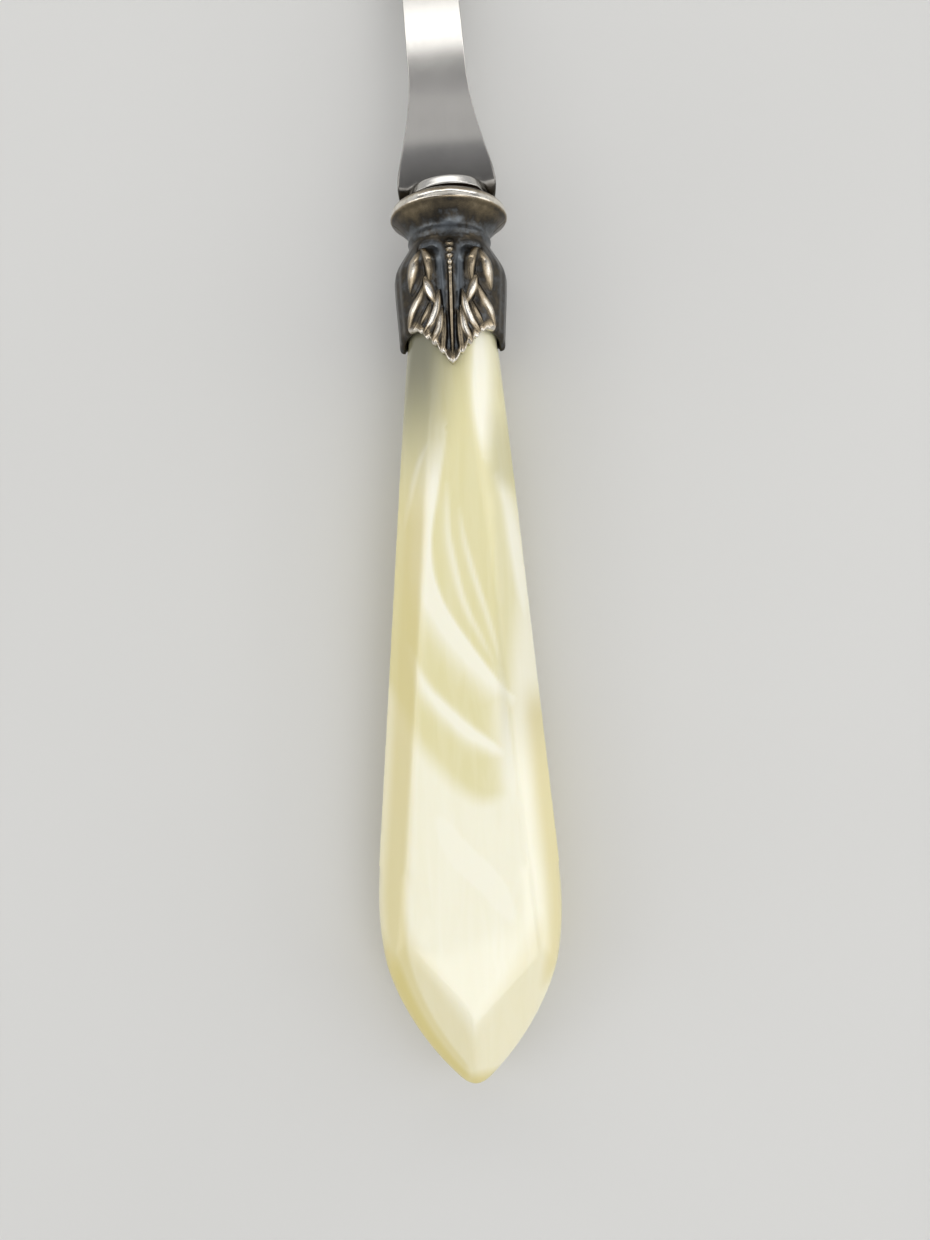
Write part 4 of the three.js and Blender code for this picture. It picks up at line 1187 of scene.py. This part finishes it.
def photo_camera(s):
    """A camera where the photograph was taken from, over the handle and looking straight down on it."""
    up = Vector((math.sin(math.radians(ROLL)), math.cos(math.radians(ROLL)), 0))
    back = Vector((0, 0, 1))
    turn = Matrix((up.cross(back), up, back)).transposed()
    camera = bpy.data.objects.new("photo_camera", bpy.data.cameras.new("photo_camera"))
    camera.data.sensor_width = SENSOR
    camera.data.lens = LENS
    camera.data.clip_start = NEAREST
    place = lying_place(s)
    rotation = (place.to_3x3().normalized() @ turn).to_4x4()
    camera.matrix_world = Matrix.Translation(place @ Vector(EYE)) @ rotation
    return camera


def soft_panel(name, spot, width, height, power):
    """A lamp as wide and high as a studio's soft panel, turned to the fork."""
    lamp = bpy.data.lights.new(name, "AREA")
    lamp.shape = "RECTANGLE"
    lamp.size, lamp.size_y = width, height
    lamp.energy = power
    panel = bpy.data.objects.new(name, lamp)
    panel.location = spot
    panel.rotation_euler = (PANEL_TARGET - Vector(spot)).to_track_quat("-Z", "Y").to_euler()
    return panel


def studio_air():
    """The room's own even light, paler from the sides and below than from above."""
    world = bpy.data.worlds.new("studio_air")
    world.use_nodes = True
    tree = world.node_tree
    tree.nodes.clear()
    place = add(tree, "TexCoord", output="Generated")
    height = add(tree, "SeparateXYZ", {0: place}, output="Z")
    air = add(tree, "ValToRGB", {"Fac": height}, [(0.25, linear(AIR_LOW)), (0.5, linear(AIR_HIGH))])
    backdrop = add(tree, "Background", {"Color": air, "Strength": 1})
    add(tree, "OutputWorld", {"Surface": backdrop})
    return world


class FORK_OT_stage(bpy.types.Operator):
    """Set the floor, the soft light and the camera"""

    bl_idname = "dinner_fork.stage"
    bl_label = "Stage"

    def execute(self, context):
        scene = context.scene
        bm = bmesh.new()
        bmesh.ops.create_circle(bm, cap_ends=True, segments=FLOOR_SEGMENTS, radius=FLOOR_RADIUS)
        floor = new_object(bm, "studio_floor", painted_board())
        scene.camera = photo_camera(sizes())
        for thing in (scene.camera, *(soft_panel(*panel) for panel in PANELS)):
            scene.collection.objects.link(thing)
        scene.world = studio_air()
        scene.view_settings.view_transform = "Standard"
        return {"FINISHED"}


class FORK_PT_sidebar(bpy.types.Panel):
    """Lists the fork's pieces, sizes and colours"""

    bl_idname = "FORK_PT_sidebar"
    bl_label = "Dinner fork"
    bl_space_type = "VIEW_3D"
    bl_region_type = "UI"
    bl_category = "Dinner fork"

    def draw(self, context):
        for operator in OPERATORS:
            self.layout.operator(operator.bl_idname)
        for group, kind in GROUPS.items():
            box = self.layout.box()
            box.label(text=kind.__doc__)
            for name in kind.__annotations__:
                box.prop(getattr(context.scene, group), name)


OPERATORS = (FORK_OT_steel, FORK_OT_ferrule, FORK_OT_cement, FORK_OT_handle, FORK_OT_stage)
CLASSES = (*GROUPS.values(), *OPERATORS, FORK_PT_sidebar)


def register():
    for kind in CLASSES:
        bpy.utils.register_class(kind)
    for name, kind in GROUPS.items():
        setattr(bpy.types.Scene, name, PointerProperty(type=kind))


def unregister():
    for name in GROUPS:
        delattr(bpy.types.Scene, name)
    for kind in reversed(CLASSES):
        bpy.utils.unregister_class(kind)


def main():
    register()
    bpy.ops.dinner_fork.steel()
    bpy.ops.dinner_fork.ferrule()
    bpy.ops.dinner_fork.cement()
    bpy.ops.dinner_fork.handle()
    bpy.ops.dinner_fork.stage()


if __name__ == "__main__":
    main()
